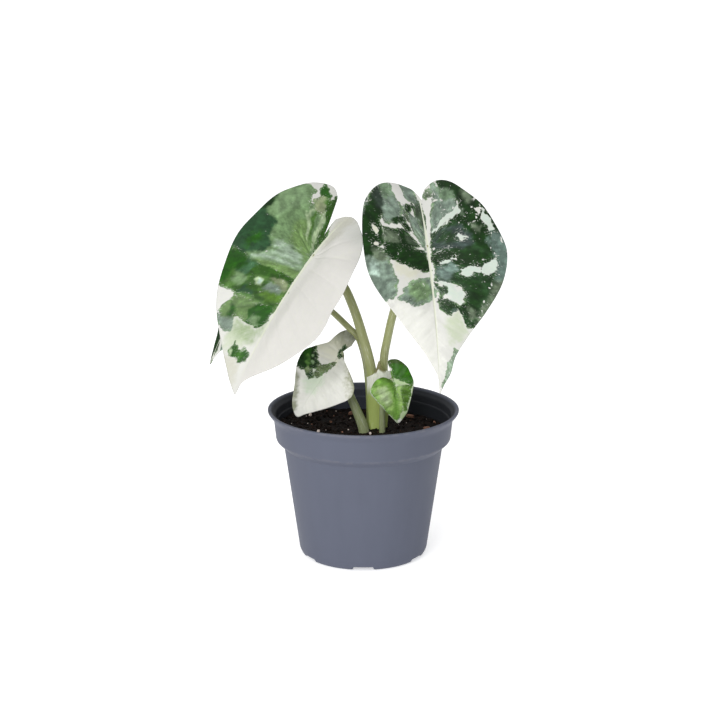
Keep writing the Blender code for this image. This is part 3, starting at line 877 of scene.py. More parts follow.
TONES = {
    "deep": seen(31, 55, 27), "forest": seen(44, 70, 42), "bright": seen(40, 84, 20),
    "moss": seen(78, 114, 54), "sage": seen(120, 147, 107), "dull_sage": seen(110, 138, 96),
    "leafy": seen(112, 141, 86), "grey_green": seen(121, 138, 124),
    "slate_green": seen(66, 79, 75), "blue_grey": seen(104, 124, 115),
    "olive": seen(99, 113, 92), "tan": seen(138, 150, 114), "lime": seen(158, 194, 112),
    "mint": seen(162, 182, 143), "emerald": seen(54, 104, 26), "blue_green": seen(46, 78, 50),
    "drab": seen(94, 110, 75), "grass": seen(118, 164, 72), "fern": seen(84, 120, 46),
    "shaded": seen(62, 84, 40), "pine": seen(50, 84, 32), "blue_leaf": seen(64, 100, 68),
    "dark_slate": seen(50, 62, 53), "grey_sage": seen(104, 126, 100),
    "dark_drab": seen(70, 84, 66), "silver": seen(148, 168, 146), "frost": seen(170, 192, 178),
    "sheen": seen(186, 208, 158), "soft_moss": seen(98, 126, 76), "light_drab": seen(112, 130, 90),
}
PALE_TONES = {
    "cream": seen(214, 214, 196), "wash": seen(196, 206, 180),
    "pearl": seen(202, 216, 204), "shade": seen(202, 201, 188),
    "pale_green": seen(152, 172, 130), "straw": seen(160, 163, 132),
    "umber": seen(140, 144, 122), "khaki": seen(180, 182, 160), "milk": seen(238, 238, 231),
    "lichen": seen(176, 202, 148), "ivory": seen(240, 239, 220), "soft_white": seen(219, 217, 212),
    "pale_mint": seen(214, 228, 206),
}

LEFT_LEAF = LeafPlan(
    name="left_leaf", slot="leaf_variegated",
    joint=(-31.8, 5.0, 189.8), tip=(-79.3, -30.0, 113.0),
    roll=22, fold=18, bend=0.004, bend_back=0.008,
    left=[(-41, -12.6), (-47, -16), (-50.5, -24), (-44, -35.5), (-30, -42), (-15, -46.4),
          (2, -48.4), (20, -47.6), (38, -43), (56, -35), (72, -23.5), (86, -11.5), (94, -4.5),
          (98.5, 1.5)],
    right=[(98.5, 1.5), (92, 2.2), (86, 6.5), (74, 22), (62, 34.5), (50, 44.5), (40, 46), (30, 43.8),
           (14, 43), (-2, 38.6), (-18, 30.5), (-30, 17), (-38, 5), (-37.5, -1), (-32, -5)],
    rays=452, rings=104, slit=True, sinus_bulge=2.4, dome=(2.2, 3.0), wave=0.7, marble=0.28, flecks=1.3,
    patches=[
        ("dull_sage", [(-41, -34), (-39, -28), (-30, -24), (-28, -17), (-24, -7), (-10, -2),
                       (0, -0.5), (20, -0.5), (22, -20), (20, -54), (-10, -54), (-38, -46)]),
        ("moss", [(19, -54), (19, -0.5), (41, -0.5), (44, -20), (42, -29), (43, -35), (45, -54)]),
        ("sage", [(-40, -36), (-34, -29), (-27, -25), (-12, -33), (-12, -41), (-26, -44)], 2.5),
        ("leafy", [(-22, -16), (-12, -8), (-4, -3), (5, -1.5), (4, -10), (-4, -18), (-14, -22)],
         3.0),
        ("mint", [(-38, -15.6), (-30, -13.4), (-15, -7.8), (-4, -3.2), (-3, -1.2), (-14, -4.4),
                  (-28, -9), (-37, -13)], 0.6),
        ("moss", [(-31, -18.8), (-20, -15.6), (-8, -7.6), (-8, -5.6), (-20, -12.4),
                  (-31, -16)], 0.8),
        ("mint", [(-27, -22), (-14, -15), (-6, -8.4), (-6, -6.8), (-14, -12.6), (-27, -19)],
         1.0),
        ("bright", [(-49, -28), (-47, -22), (-44, -18.5), (-38, -17), (-38, -21), (-43, -27)]),
        ("tan", [(-40, -21), (-38, -14.5), (-30, -12), (-26, -13), (-27, -19), (-33, -22)], 1.5),
        ("moss", [(-41, -18), (-38, -15), (-33, -14), (-34, -17)], 1.5),
        ("pine", [(-44, -16), (-44, -10), (-37, -7.4), (-30, -5), (-20, -2.6), (-10, -0.6), (1, 0.4),
                  (-6, -2.4), (-14, -4.8), (-20, -7), (-26, -9.4), (-31, -12.4), (-37, -15.6)]),
        ("deep", [(-24, -52), (-23, -44), (-16, -42.5), (-9, -44), (-6, -54)], 1.4),
        ("blue_green", [(-10, -54), (-10, -37), (-8, -32), (-2, -30.5), (4, -29), (8, -25),
                        (12, -25.5), (15, -28), (18, -34), (21, -40), (20, -54)], 1.6),
        ("bright", [(3, -37), (6, -33.5), (11, -34), (15, -38), (11, -42), (6, -41)], 4.0),
        # this silver streak is a painted sheen, reflected light on the green half
        ("silver", [(3, -16), (1, -9), (5, -3), (9, -1.5), (11, -8), (13, -16), (18, -25),
                        (15, -27), (8, -20)], 3.0),
        ("sage", [(20, -36), (14, -28), (11, -18), (8.5, -6), (7.5, -0.5), (11.5, -0.5),
                  (14.5, -10), (17.5, -22), (22, -34)], 2.6),
        ("silver", [(18.4, -33), (14, -25), (11, -14), (9, -3), (10.4, -3), (12.8, -14),
                  (16, -25)], 1.6),
        ("silver", [(3, -24), (1.5, -14), (4.5, -12), (7, -23)], 2.6),
        ("leafy", [(19, -28), (15.5, -17), (12.5, -6), (12.5, -0.5), (18, -0.5), (19, -8),
                   (20, -14), (21, -24)], 1.4),
        ("blue_leaf", [(20.5, -34), (20.5, -24), (24, -20), (28, -24), (31, -30), (31, -36),
                       (26, -36)], 1.8),
        ("bright", [(20, -54), (20, -36), (24, -31), (28, -33), (32, -40), (28, -50)], 2.0),
        ("bright", [(30, -50), (30, -40), (36, -38), (42, -38), (42, -48)], 3.0),
        ("dull_sage", [(31, -35), (31, -28), (35, -26), (39, -28), (39, -35)], 1.8),
        ("tan", [(22, -12), (22.5, -3), (26, -1), (29, -3), (28, -9), (25, -13)], 2.4),
        ("pine", [(20.5, -24), (19.8, -14), (18.6, -6), (17, 0.5), (22, 0.5), (23, -8),
                  (25, -15), (28.6, -24), (31, -29), (26, -28)], 0.9),
        ("grey_green", [(27, -13), (28, -5), (32, -3.5), (34, -8), (33, -14), (30, -15)], 1.8),
        ("pine", [(27, -26), (30, -21), (34, -18), (36.5, -11), (38, -3), (40, -2), (40, -12),
                  (40, -22), (43, -31), (41, -33), (37, -28), (33, -26)], 1.2),
        ("fern", [(33, -12), (31, -1), (37, -1), (38, -8), (36, -15)], 2.0),
        ("blue_green", [(37, -26), (38, -19), (40.4, -17), (41.6, -22), (41.4, -28)], 1.6),
        ("mint", [(28.5, -21), (28.6, -17), (32.5, -16), (34, -20), (31, -22.6)]),
        ("frost", [(29.6, -19.8), (30, -17.4), (32, -17.6), (32, -20)], 0.8),
        ("frost", [(28.2, -7.4), (28.8, -6.2), (29.8, -6.8), (29.2, -8)], 0.6),
        ("pine", [(27.6, -12.6), (29, -16.4), (33, -15), (36, -18), (38, -24), (35.4, -20.6),
                  (31.4, -13.4)], 0.8),
        ("soft_moss", [(44, -27), (42, -18), (40, -9), (41, -1), (50, -1), (60, -8), (62, -20),
                       (64, -26), (58, -31), (53, -31), (47, -27)]),
        ("bright", [(40.5, -10), (39.5, -4), (43, -1.2), (50, -1.5), (55, -3.5), (59.5, -8),
                    (60, -13), (56, -14.5), (52, -13.5), (48, -16), (43, -13)]),
        ("dull_sage", [(50, -12), (49, -7), (54, -6), (57, -9), (55, -12)], 2.0),
        ("bright", [(50, -27), (50.6, -23.5), (53, -21.5), (57.4, -22.4), (57, -26), (53, -25)],
         1.4),
        ("grey_green", [(59, -32), (58, -20), (61, -17), (65, -18), (67, -24), (64, -32)], 2.0),
        ("pale_green", [(56, -20), (56, -6), (50, -0.5), (58, -1), (66, -4), (72, -13), (67, -20)],
         4.0),
        ("wash", [(66, -20), (68, -8), (76, -10), (76, -20)], 4.0),
        ("bright", [(70, -13), (72.4, -11.6), (74, -8.4), (71, -5), (72, -2.6), (76, -3.6),
                  (80.6, -6), (80.6, -12), (78, -13), (76, -15.4), (74, -14)]),
        ("emerald", [(73.4, -10), (74, -6.4), (79, -6.8), (79.6, -11)], 1.2),
        ("mint", [(75, -15), (74.6, -12.6), (77, -11.8), (78.4, -13.4)], 0.8),
        ("shade", [(79, -18), (79, -8), (84, -3), (96, -2), (90, -12)], 3.0),
        # soft_white: painted shade, a dimmer white over the whole right half
        ("soft_white", [(-20, 4), (-10, 60), (90, 60), (98, 2), (90, 0.6), (0, 0.6)], 4.0),
        ("shade", [(-42, 2), (-36, 8), (-18, 10), (-10, 3), (-10, -0.4), (-20, -2.2),
                   (-30, -4.4), (-36, -6)], 6.0),
    ])

RIGHT_LEAF = LeafPlan(
    name="right_leaf", slot="leaf_variegated",
    joint=(39.5, -5.0, 197.7), tip=(46.7, -35.0, 114.5),
    roll=0, fold=12, bend=0.004, bend_back=0.008,
    left=[(-33, 1.5), (-38, -1), (-42.5, -5), (-45, -14), (-43.5, -25), (-35, -34.5), (-22, -40.5),
          (-4, -43), (14, -42.4), (31, -34), (47, -22), (64, -9.5), (78, -1.6), (85, -0.4),
          (90.5, 0)],
    right=[(90.5, 0), (85, 3.0), (78, 7.4), (68, 11), (56, 20), (42, 32), (26, 43.5), (10, 48),
           (-4, 46), (-19, 40), (-33, 31.5), (-43, 22.5), (-46, 13), (-42, 5.5), (-37, 2.6),
           (-33, 1.5)],
    rays=452, rings=104, dome=(1.8, 1.8), wave=0.7, marble=0.4, flecks=1.22,
    patches=[
        ("deep", [(-41, -30), (-38, -24), (-30, -23), (-22, -26), (-16, -30), (-8, -29),
                  (-2, -29), (1, -33), (7, -37), (10, -52), (-10, -52), (-22, -42.5), (-27, -38),
                  (-34, -33)]),
        ("dark_slate", [(-42, -28), (-38, -24), (-30, -23.5), (-24, -26), (-26, -30), (-36, -31)],
         2.5),
        ("grey_green", [(-43, -42), (-36, -36), (-28, -37.5), (-22, -41), (-24, -46)], 2.0),
        ("grey_green", [(-50, -26), (-46, -20), (-38, -18), (-31, -16), (-24, -13), (-17, -16),
                        (-15, -26), (-20, -28), (-28, -25), (-36, -24)], 1.6),
        ("grey_sage", [(-50, -26), (-46, -19), (-34, -18), (-32, -22), (-38, -25)], 2.5),
        ("deep", [(-20, -21), (-20, -17), (-19, -14), (-15.5, -13.6), (-14.6, -19), (-17, -22)]),
        ("olive", [(-27, -13), (-22, -10), (-16, -9.4), (-16, -12), (-22, -13.6)]),
        ("deep", [(-28, -12), (-28, -9.4), (-25, -8), (-21.6, -9.6), (-23.6, -12)]),
        ("deep", [(-15, -17), (-14, -12), (-11, -9.6), (-9.6, -12), (-12, -16)]),
        ("grey_green", [(-48, -13), (-43, -3), (-36, -2), (-31, -0.5), (-30, -5), (-33, -9),
                        (-40, -12)], 1.6),
        ("dark_drab", [(-31, -0.5), (-31, -4.5), (-26, -7), (-19, -5.5), (-13, -3), (-9, -0.6),
                       (-20, 0.4)], 1.6),
        ("deep", [(-30, -6.5), (-27, -5), (-24, -6.6), (-27, -8.4)], 1.6),
        ("deep", [(-12, -28), (-12, -20), (-10.5, -12), (-6, -9), (-1, -5), (1, -12), (1, -20),
                  (2, -28), (-6, -28)]),
        ("olive", [(-11, -28), (-9, -21), (-3, -19), (0, -22), (0, -27), (-6, -29)], 2.6),
        ("dark_drab", [(-8, -13), (-5, -9.4), (-2, -8), (-3, -13)], 2.0),
        ("grey_green", [(6, -52), (5, -35), (8, -28), (13, -25), (20, -23.6), (24, -25),
                        (29, -26), (32, -30), (36, -42), (20, -52)], 1.6),
        ("olive", [(0, -38), (2, -30), (8, -27), (9, -32), (5, -38)], 2.5),
        ("frost", [(9, -41), (10, -36), (14, -34), (18, -36), (16, -41)], 2.6),
        ("grey_green", [(-23, -10), (-15, -9.6), (-9, -7.6), (-3, -4), (0, -1), (-7, -0.6),
                        (-13, -2.6), (-19, -5.4)], 2.0),
        ("silver", [(-14, -8), (-8, -6), (-2, -2.4), (-8, -3)], 1.2),
        ("deep", [(-2, -29), (-2, -18), (0, -8), (2.4, -1.4), (8, -0.6), (14, -0.6), (15, -5),
                  (14, -13), (11, -20), (7, -26), (3, -29.5)]),
        ("cream", [(-14, -35.5), (-10, -33), (-8, -34), (-12, -36.5)]),
        ("cream", [(-4, -36.5), (-3, -33), (0, -33), (-1, -37)]),
        ("grey_green", [(25, -19), (21.5, -12), (20, -4), (19, -0.4), (26, 1), (31, 1), (34, -3),
                        (34, -7), (36, -11), (36, -16), (33.6, -24), (31, -25), (30, -20),
                        (27, -21)], 1.6),
        ("sage", [(23, -17), (21.5, -10), (23, -2), (29, 0), (32, -4), (33, -12),
                       (30, -17)], 2.6),
        ("cream", [(9, -24), (12, -15), (15, -8), (19, -10), (18, -20), (14, -24)], 3.0),
        # right lobe
        ("forest", [(-50, 14), (-40, 14.5), (-34, 19), (-28, 22), (-20, 20), (-13, 12), (-10, 4),
                    (0, 2.2), (8, 1.8), (14, 2.4), (20, 3.4), (23, 7), (24.5, 13), (27, 17.6),
                   (31, 19.6), (37, 19.6), (38, 16), (36, 12), (33.6, 4), (38, 3.6), (43, 9.6),
                   (45, 16), (50, 17), (52, 30), (30, 50), (0, 56), (-30, 44)]),
        ("deep", [(-50, 13.5), (-43, 14), (-38, 18), (-32, 23), (-26, 22), (-20, 21), (-15, 17),
                  (-12, 22), (-7, 26), (-1, 29), (5, 34), (8, 40), (-4, 52), (-20, 46),
                  (-34, 38)], 1.6),
        ("grey_sage", [(-40, 13), (-38, 18), (-34, 21), (-28, 21), (-24, 18), (-28, 12),
                       (-36, 11)], 2.0),
        ("grey_green", [(-34, 9.4), (-28, 6), (-20, 4.4), (-10, 4), (-13, 11), (-17, 17),
                        (-22, 22), (-28, 20)], 1.6),
        ("olive", [(-36, 27), (-33, 32), (-27, 33), (-26, 28), (-31, 26)], 2.5),
        ("grey_sage", [(-24, 23), (-21, 26), (-18, 25.6), (-18, 23), (-21, 21)], 1.6),
        ("olive", [(-13, 28), (-10, 34), (-7, 33), (-9, 28)], 2.0),
        ("pearl", [(-26, 22), (-21, 23), (-16, 17), (-12, 10), (-9, 5), (-11, 5), (-16, 11),
                   (-21, 17)]),
        ("pearl", [(-21, 36.5), (-14, 40), (-7, 42), (-6, 38.5), (-12, 37), (-17, 35)]),
        ("slate_green", [(-11, 9), (-11, 20), (-7, 26), (0, 28), (3, 16), (2, 5), (-4, 4)], 2.5),
        ("forest", [(-9, 10), (-7, 18), (-3, 20), (0, 12), (-4, 7)], 3.0),
        ("slate_green", [(0, 8), (-1, 18), (1, 26), (2.5, 18), (2, 10)], 2.0),
        ("pearl", [(-5, 17.5), (-7, 20), (-4, 24.5), (-3, 21)]),
        ("blue_grey", [(-6, 39), (-4, 52), (12, 54), (24, 52), (30, 41), (20, 40), (10, 41),
                       (2, 38)], 3.0),
        ("deep", [(2.5, 2.6), (2.4, 16), (4, 26), (7, 34), (11, 38.5), (14, 34), (13, 26), (13, 14),
                  (10.5, 5), (7, 1.6)], 1.6),
        ("pearl", [(4, 1.4), (2.6, 7), (0.4, 13), (1.2, 13), (3.4, 8)]),
        ("pearl", [(11.4, 2), (10, 8), (8.8, 13), (9.6, 13), (11, 8)]),
        ("forest", [(21.6, 2.6), (24, 4), (28, 4.6), (34, 5.6), (34, 3.2), (28, 3), (24, 2.4)]),
        ("blue_grey", [(12, 4), (12, 12), (16, 16), (21, 12), (21.5, 7), (17, 3)], 2.6),
        ("deep", [(20, 14), (23, 27), (32, 33), (44, 24), (48, 18), (38, 19), (31, 24), (24, 20)],
         2.6),
        ("pearl", [(18.6, 17), (16.6, 19), (14.2, 24), (14.8, 28), (16.6, 31.4), (19, 30),
                   (18.4, 26), (19.4, 22)]),
        ("pearl", [(19.4, 31.6), (16, 32.4), (12.6, 36.5), (10.6, 40), (13.6, 41), (17, 41.4),
                   (18.6, 38), (20.8, 35.6)]),
        ("pearl", [(21.6, 4.6), (23.6, 9.6), (24.4, 13), (27.6, 14.6), (28.6, 18), (32, 19.8),
                   (35, 18.6), (38.4, 19.4), (37.6, 16), (35, 14), (34.6, 11), (31, 9),
                   (29, 6), (25, 6)], 2.0),
        ("forest", [(25, 6), (26.4, 8), (29, 7.4), (28, 5)]),
        ("deep", [(33.6, 4), (33, 8), (35.6, 12), (38, 16), (37.4, 20), (40, 24), (45, 24),
                  (42.6, 17), (41, 10), (37, 4.4)], 1.4),
        ("blue_grey", [(38.6, 10), (40.4, 14), (43, 14), (42, 10.6)], 2.0),
        ("olive", [(40, 20), (42, 26), (47, 24), (46, 20)], 2.0),
        ("olive", [(26, 38), (24, 46), (36, 44), (46, 34), (52, 26), (46, 25), (38, 32)], 3.0),
        # milk: painted light, a brighter white over the left lobe towards the tip
        ("milk", [(32, -30), (38, -1), (60, 2), (90, 2), (90, -30)], 5.0),
        ("wash", [(43, 8), (41, 14), (48, 18), (54, 20), (59, 14), (60, 8), (50, 6)], 3.5),
        ("olive", [(-41, 4.5), (-38, 8), (-34, 7), (-34, 4), (-38, 3)], 2.0),
        ("grey_green", [(-46, 8), (-43, 12), (-34, 10), (-30, 7), (-36, 8.4)], 2.0),
        ("silver", [(64.6, 10.6), (64, 15), (72, 12), (80, 8), (88, 2.4), (84, 3), (76, 5.2),
                    (70, 7.8)], 2.0),
    ])

BACK_LEAF = LeafPlan(
    name="back_leaf", slot="leaf_variegated",
    joint=(-67.0, 42.0, 174.5), tip=(-98.0, 28.0, 114.5),
    roll=18, fold=15, bend=0.004, bend_back=0.010,
    left=[(-18, -1), (-25, -4), (-27, -10), (-22, -18), (-10, -22), (4, -22), (20, -18), (34, -11),
          (47, -5), (58, -2.6), (69, 0)],
    right=[(69, 0), (63, 2.5), (55, 8), (44, 14), (30, 19), (15, 22), (0, 23), (-12, 21),
           (-22, 17), (-27, 10), (-25, 4), (-18, -1)],
    rays=300, rings=70, dome=(1.2, 1.2), wave=0.5, vein_gap=9.0, rib_width=1.8,
    patches=[
        ("deep", [(-40, -30), (-40, -2), (-10, -1), (20, 0), (45, 1), (62, 1), (72, 0), (40, -20),
                  (10, -30)]),
        ("grey_green", [(-30, 2), (-30, 30), (0, 30), (20, 26), (26, 12), (10, 4), (-8, 2)]),
        ("deep", [(-10, 12), (-4, 26), (12, 26), (18, 14), (6, 9)]),
        ("blue_grey", [(36, 2), (30, 8), (40, 14), (50, 12), (58, 5), (50, 2)]),
        ("pearl", [(40, 6), (38, 12), (46, 14), (50, 9), (46, 5)]),
        ("pearl", [(-22, -14), (-12, -16), (-8, -8), (-16, -5)]),
        ("pearl", [(8, -16), (18, -14), (22, -6), (12, -8)]),
    ])

SMALL_WHITE_LEAF = LeafPlan(
    name="small_white_leaf", slot="leaf_white",
    joint=(-14.1, 4.0, 128.7), tip=(-41.8, -14.0, 92.3),
    roll=42, fold=25, bend=0.004, bend_back=0.030,
    left=[(-8, 3), (-12.5, 2.4), (-17, 2.2), (-19, -1), (-17, -5), (-11, -9), (-1, -11),
          (7, -17), (13, -20.5), (22, -19), (33, -13), (44, -7), (49, 0)],
    right=[(49, 0), (45, 4.4), (40, 10), (34, 16.5), (28, 22.5), (24.5, 25.5), (20.5, 26.5),
           (16, 24.5), (12, 20)],
    rays=280, rings=64, slit=True, dome=(1.4, 2.2), wave=0.4, vein_gap=7.0, rib_width=0.9,
    ragged=0.8, marble=0.3, rib_tint=0.1,
    patches=[
        # milk: painted light, the whole blade whiter against the shade of the leaves above it
        ("milk", [(-9, -30), (-9, 30), (60, 30), (60, -30)], 2.0),
        # umber and khaki: painted shade over the lobe behind the joint and round the joint
        ("umber", [(-40, -30), (-40, 20), (-8, 14), (-8, -26)], 5.0),
        ("khaki", [(-10, -14), (-10, 6), (-1, 6), (-1, -16)], 3.5),
        ("ivory", [(-3, -22), (-3, 5), (8, 2), (9, -22)], 4.0),
        # straw: painted shade along the upper right margin
        ("straw", [(2, 6), (8, 12), (15, 19), (22, 26), (20, 34), (0, 22)], 4.0),
        ("pale_mint", [(17, -9), (19, 1), (31, 2), (33, -4), (27, -9)], 3.0),
        # umber: painted shade along the left margin
        ("umber", [(26, -20), (26, -12.6), (34, -8.6), (40, -5.4), (46, -3.0), (52, -6),
                   (40, -18)], 1.6),
        ("deep", [(6, -25), (6.5, -15), (9, -13.5), (10, -10.5), (13, -9.5), (14, -6), (16.5, -6),
                  (18.5, -8.5), (20, -10), (21, -13), (23.5, -15.5), (23, -25)]),
        ("bright", [(9, -20), (9, -16), (12, -15), (16, -14), (16, -18), (12, -21)], 1.5),
        ("light_drab", [(10, -2.6), (13, -6), (16, -8), (18.5, -6.5), (18, -1.5), (15, 0.2),
                        (11.5, 0)]),
        ("light_drab", [(19, -12), (20, -9), (22, -8), (23.5, -10), (22, -12.5)]),
        ("moss", [(13, -16.5), (14.2, -13.6), (15.4, -13.4), (14.8, -17)], 0.8),
        ("moss", [(16.6, -15), (17.4, -12), (18.6, -12.4), (18, -15.4)], 0.8),
        ("sage", [(14.6, -11.4), (15, -10.2), (16.2, -10.6), (15.6, -11.8)], 0.6),
        ("sage", [(11, -13.4), (11.4, -12), (12.4, -12.4), (12, -13.6)], 0.6),
        ("forest", [(20.5, -8.6), (22.6, -6), (24.6, -7.5), (23.5, -10)]),
        ("drab", [(18.8, -6), (19.4, -3), (21.4, -3.6), (20.6, -7)]),
        ("forest", [(-5, -0.8), (-4, 1.6), (0, 3.8), (3.6, 2.2), (2, 0), (-1, -0.8)]),
        ("drab", [(6.4, -0.8), (7, 0.8), (9.4, 0.6), (9, -0.8)]),
    ])

SMALL_GREEN_LEAF = LeafPlan(
    name="small_green_leaf", slot="leaf_green",
    joint=(18.3, -13.0, 115.3), tip=(21.8, -16.0, 88.5),
    roll=-35, fold=20, bend=0.006, bend_back=0.020,
    left=[(-1.6, -2.4), (-3.2, -6), (-3.0, -9.6), (-1.4, -13), (1.4, -16), (4.6, -17.6),
          (9, -14.6), (14, -11), (19, -7), (23.5, -3.4), (27, 0)],
    right=[(27, 0), (23.5, 4.2), (20, 7), (12, 10), (3, 13), (-6, 11), (-11.5, 7), (-13.4, 2.6),
           (-12.4, -1), (-6, -0.6)],
    rays=260, rings=60, slit=True, dome=(1.2, 1.0), wave=0.5, vein_gap=4.6, rib_width=0.9,
    ragged=0.45, grow=0.3, marble=0.22, speckled=0.7, rib_tint=0.15,
    patches=[
        ("milk", [(-20, -30), (-20, 30), (40, 30), (40, -30)]),
        ("lichen", [(-2, 0), (-2, 9), (6, 9), (24, 5), (24, -3)], 1.6),
        ("grass", [(-6, 1), (-7, -20), (2, -24), (12, -17), (20, -9.6), (25.6, -1.4), (24, 1),
                   (19, 3), (8, 1.6), (0, 0.8)], 1.4),
        ("lime", [(1, -15), (1.5, -8), (4, -3.5), (9, -1.8), (16, -2), (19, -3.5), (16, -8),
                  (10, -12), (6, -15)], 2.4),
        ("sheen", [(3, -11.5), (3.4, -6), (7, -3.4), (12.5, -4), (14, -7), (9, -11)], 2.6),
        ("fern", [(-5, -13), (-2.4, -9), (-1.2, -5), (1.2, -2.4), (7, -0.6), (12, 0.4), (5, 1.4),
                  (-2, 0.6), (-7, -4)], 1.6),
        ("emerald", [(-18, -4), (-18, 16), (4.4, 18), (3.0, 10), (1.0, 6), (-1.2, 2.6),
                     (-2.8, 0.4), (-8, -0.2)]),
        ("shaded", [(-18, -4), (-18, 16), (-4, 18), (-8, 9.4), (-10.4, 5), (-11, 1), (-9, -0.5)],
         1.5),
        ("lime", [(3.6, 1.4), (3.4, 5.6), (8, 4.2), (14, 4.6), (17, 3), (21, 2), (14, 1.6),
                  (9, 2.2)], 1.6),
        ("fern", [(3.6, 5), (3.4, 12.3), (6, 11.5), (9, 10.5), (14, 8.7), (20, 6),
                  (19, 4.4), (12, 4.2), (7, 4)], 0.8),
        ("lichen", [(0, -26), (0.8, -16.6), (4.2, -17.2), (8.4, -14.6), (13.4, -11), (18.6, -7.1),
                    (23, -3.4), (27, 0), (26, -9), (12, -22)]),
        ("lichen", [(2, 16), (3, 12.7), (9, 10.8), (14, 9), (20, 6.2), (23.4, 3.2), (28, 0),
                    (26, 9), (12, 17)]),
    ])


# ------------------------------------------------------------------ leaf surfaces

SADDLE = 5.0                # radius, along the half-width, of the round valley over the midrib
STALK_CLEARANCE = 0.85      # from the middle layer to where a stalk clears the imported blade
HUB_LIFTS = (0.05, -1.2)    # the faces' heights where the rays meet at the joint
VEIN_LEAN = 0.1
VEIN_FAN = 0.015
VEIN_STAGGER = 0.35         # vein gaps by which the right lobe's veins stand nearer the joint
RAY_SPREAD = 1.7            # vein gaps per radian behind the joint
BORDER_REACH = 6.0          # the border's distance is kept within this
SLIT_SHARE = 0.10           # share of the rays that bulge beside a slit


class LeafFrame:
    """A blade's bent and folded middle layer: the frame's, with a rounder valley over the midrib.

    The midrib leaves the joint and bends at a constant rate so that it ends at the tip. The
    blade faces up as far as its midrib lets it, then rolls about the midrib, and both halves
    rise from the midrib at the fold angle."""

    def __init__(self, plan):
        self.joint = np.array(plan.joint)
        chord = np.array(plan.tip) - self.joint
        aim = unit(chord)
        face = unit(np.array([0.0, 0.0, 1.0]) - aim * aim[2])
        side = np.cross(face, aim)
        roll = math.radians(plan.roll)
        face = face * math.cos(roll) + side * math.sin(roll)
        half_turn = plan.bend * np.linalg.norm(chord) / 2
        self.along = aim * math.cos(half_turn) + face * math.sin(half_turn)
        self.face = face * math.cos(half_turn) - aim * math.sin(half_turn)
        self.side = np.cross(self.face, self.along)
        self.fold = math.radians(plan.fold)
        self.bend, self.bend_back = plan.bend, plan.bend_back

    def points(self, a, b, lift):
        """Points a along the midrib and b across it, lifted above the middle layer: the midrib
        is an arc, and a half's height over it is sqrt(b^2 + saddle^2) - saddle, times the sine
        of the fold."""
        rate = np.where(a >= 0, self.bend, self.bend_back)
        way = np.where(a >= 0, 1.0, -1.0)
        turn = rate * np.abs(a)
        rib = (self.joint + self.along * (way * np.sin(turn) / rate)[..., None]
               - self.face * ((1 - np.cos(turn)) / rate)[..., None])
        normal = (self.face * np.cos(turn)[..., None]
                  + self.along * (way * np.sin(turn))[..., None])
        rise = (np.hypot(b, SADDLE) - SADDLE) * math.sin(self.fold)
        across = self.side * (b * math.cos(self.fold))[..., None]
        return rib + across + normal * (rise + lift)[..., None]

    def under(self, a, drop):
        """Point below the midrib, drop beyond the stalk's clearance; less than 0 is nearer it."""
        return tuple(self.points(np.array(a), np.array(0.0), np.array(-STALK_CLEARANCE - drop)))


def vein_numbers(plan, a, b):
    """How far along its side vein a point lies, in mm, and which vein it lies on or near.

    Ahead of the joint the veins are straight lines a = q + (lean + q * fan) * |b|, so that q is
    the place on the midrib that the vein leaves. Behind that they are rays from the joint, and
    q goes on with the angle. The left lobe's veins stand where q is a whole number of gaps, and
    the right lobe's a stagger before that. The last value is the distance between veins in mm."""
    out = np.abs(b)
    ahead = (a - VEIN_LEAN * out) / (1.0 + VEIN_FAN * out)
    angle = np.arctan2(out, a) - math.atan2(1.0, VEIN_LEAN)
    q = np.where(ahead > 0, ahead, -np.maximum(angle, 0.0) * plan.vein_gap * RAY_SPREAD)
    reach = np.where(ahead > 0, out, np.hypot(a, b))
    spread = np.where(ahead > 0, (1.0 + VEIN_FAN * out), reach / (plan.vein_gap * RAY_SPREAD))
    order = q / plan.vein_gap + np.where(b > 0, VEIN_STAGGER, 0.0)
    return reach, order, spread * plan.vein_gap


def inside_by(a, b, corners):
    """Distance in mm from each point to a closed outline, positive inside it: the least of the
    distances to its sides, and inside where a line along +a crosses them an odd number of times."""
    nearest = np.full(a.shape, 1e9)
    inside = np.zeros(a.shape, bool)
    for (a0, b0), (a1, b1) in zip(corners, corners[1:] + corners[:1]):
        run, side = a1 - a0, b1 - b0
        share = ((a - a0) * run + (b - b0) * side) / (run * run + side * side)
        share = np.clip(share, 0.0, 1.0)
        nearest = np.minimum(nearest, np.hypot(a - a0 - run * share, b - b0 - side * share))
        if side:
            inside ^= ((b0 <= b) != (b1 <= b)) & (a < a0 + run * (b - b0) / side)
    return np.where(inside, nearest, -nearest)


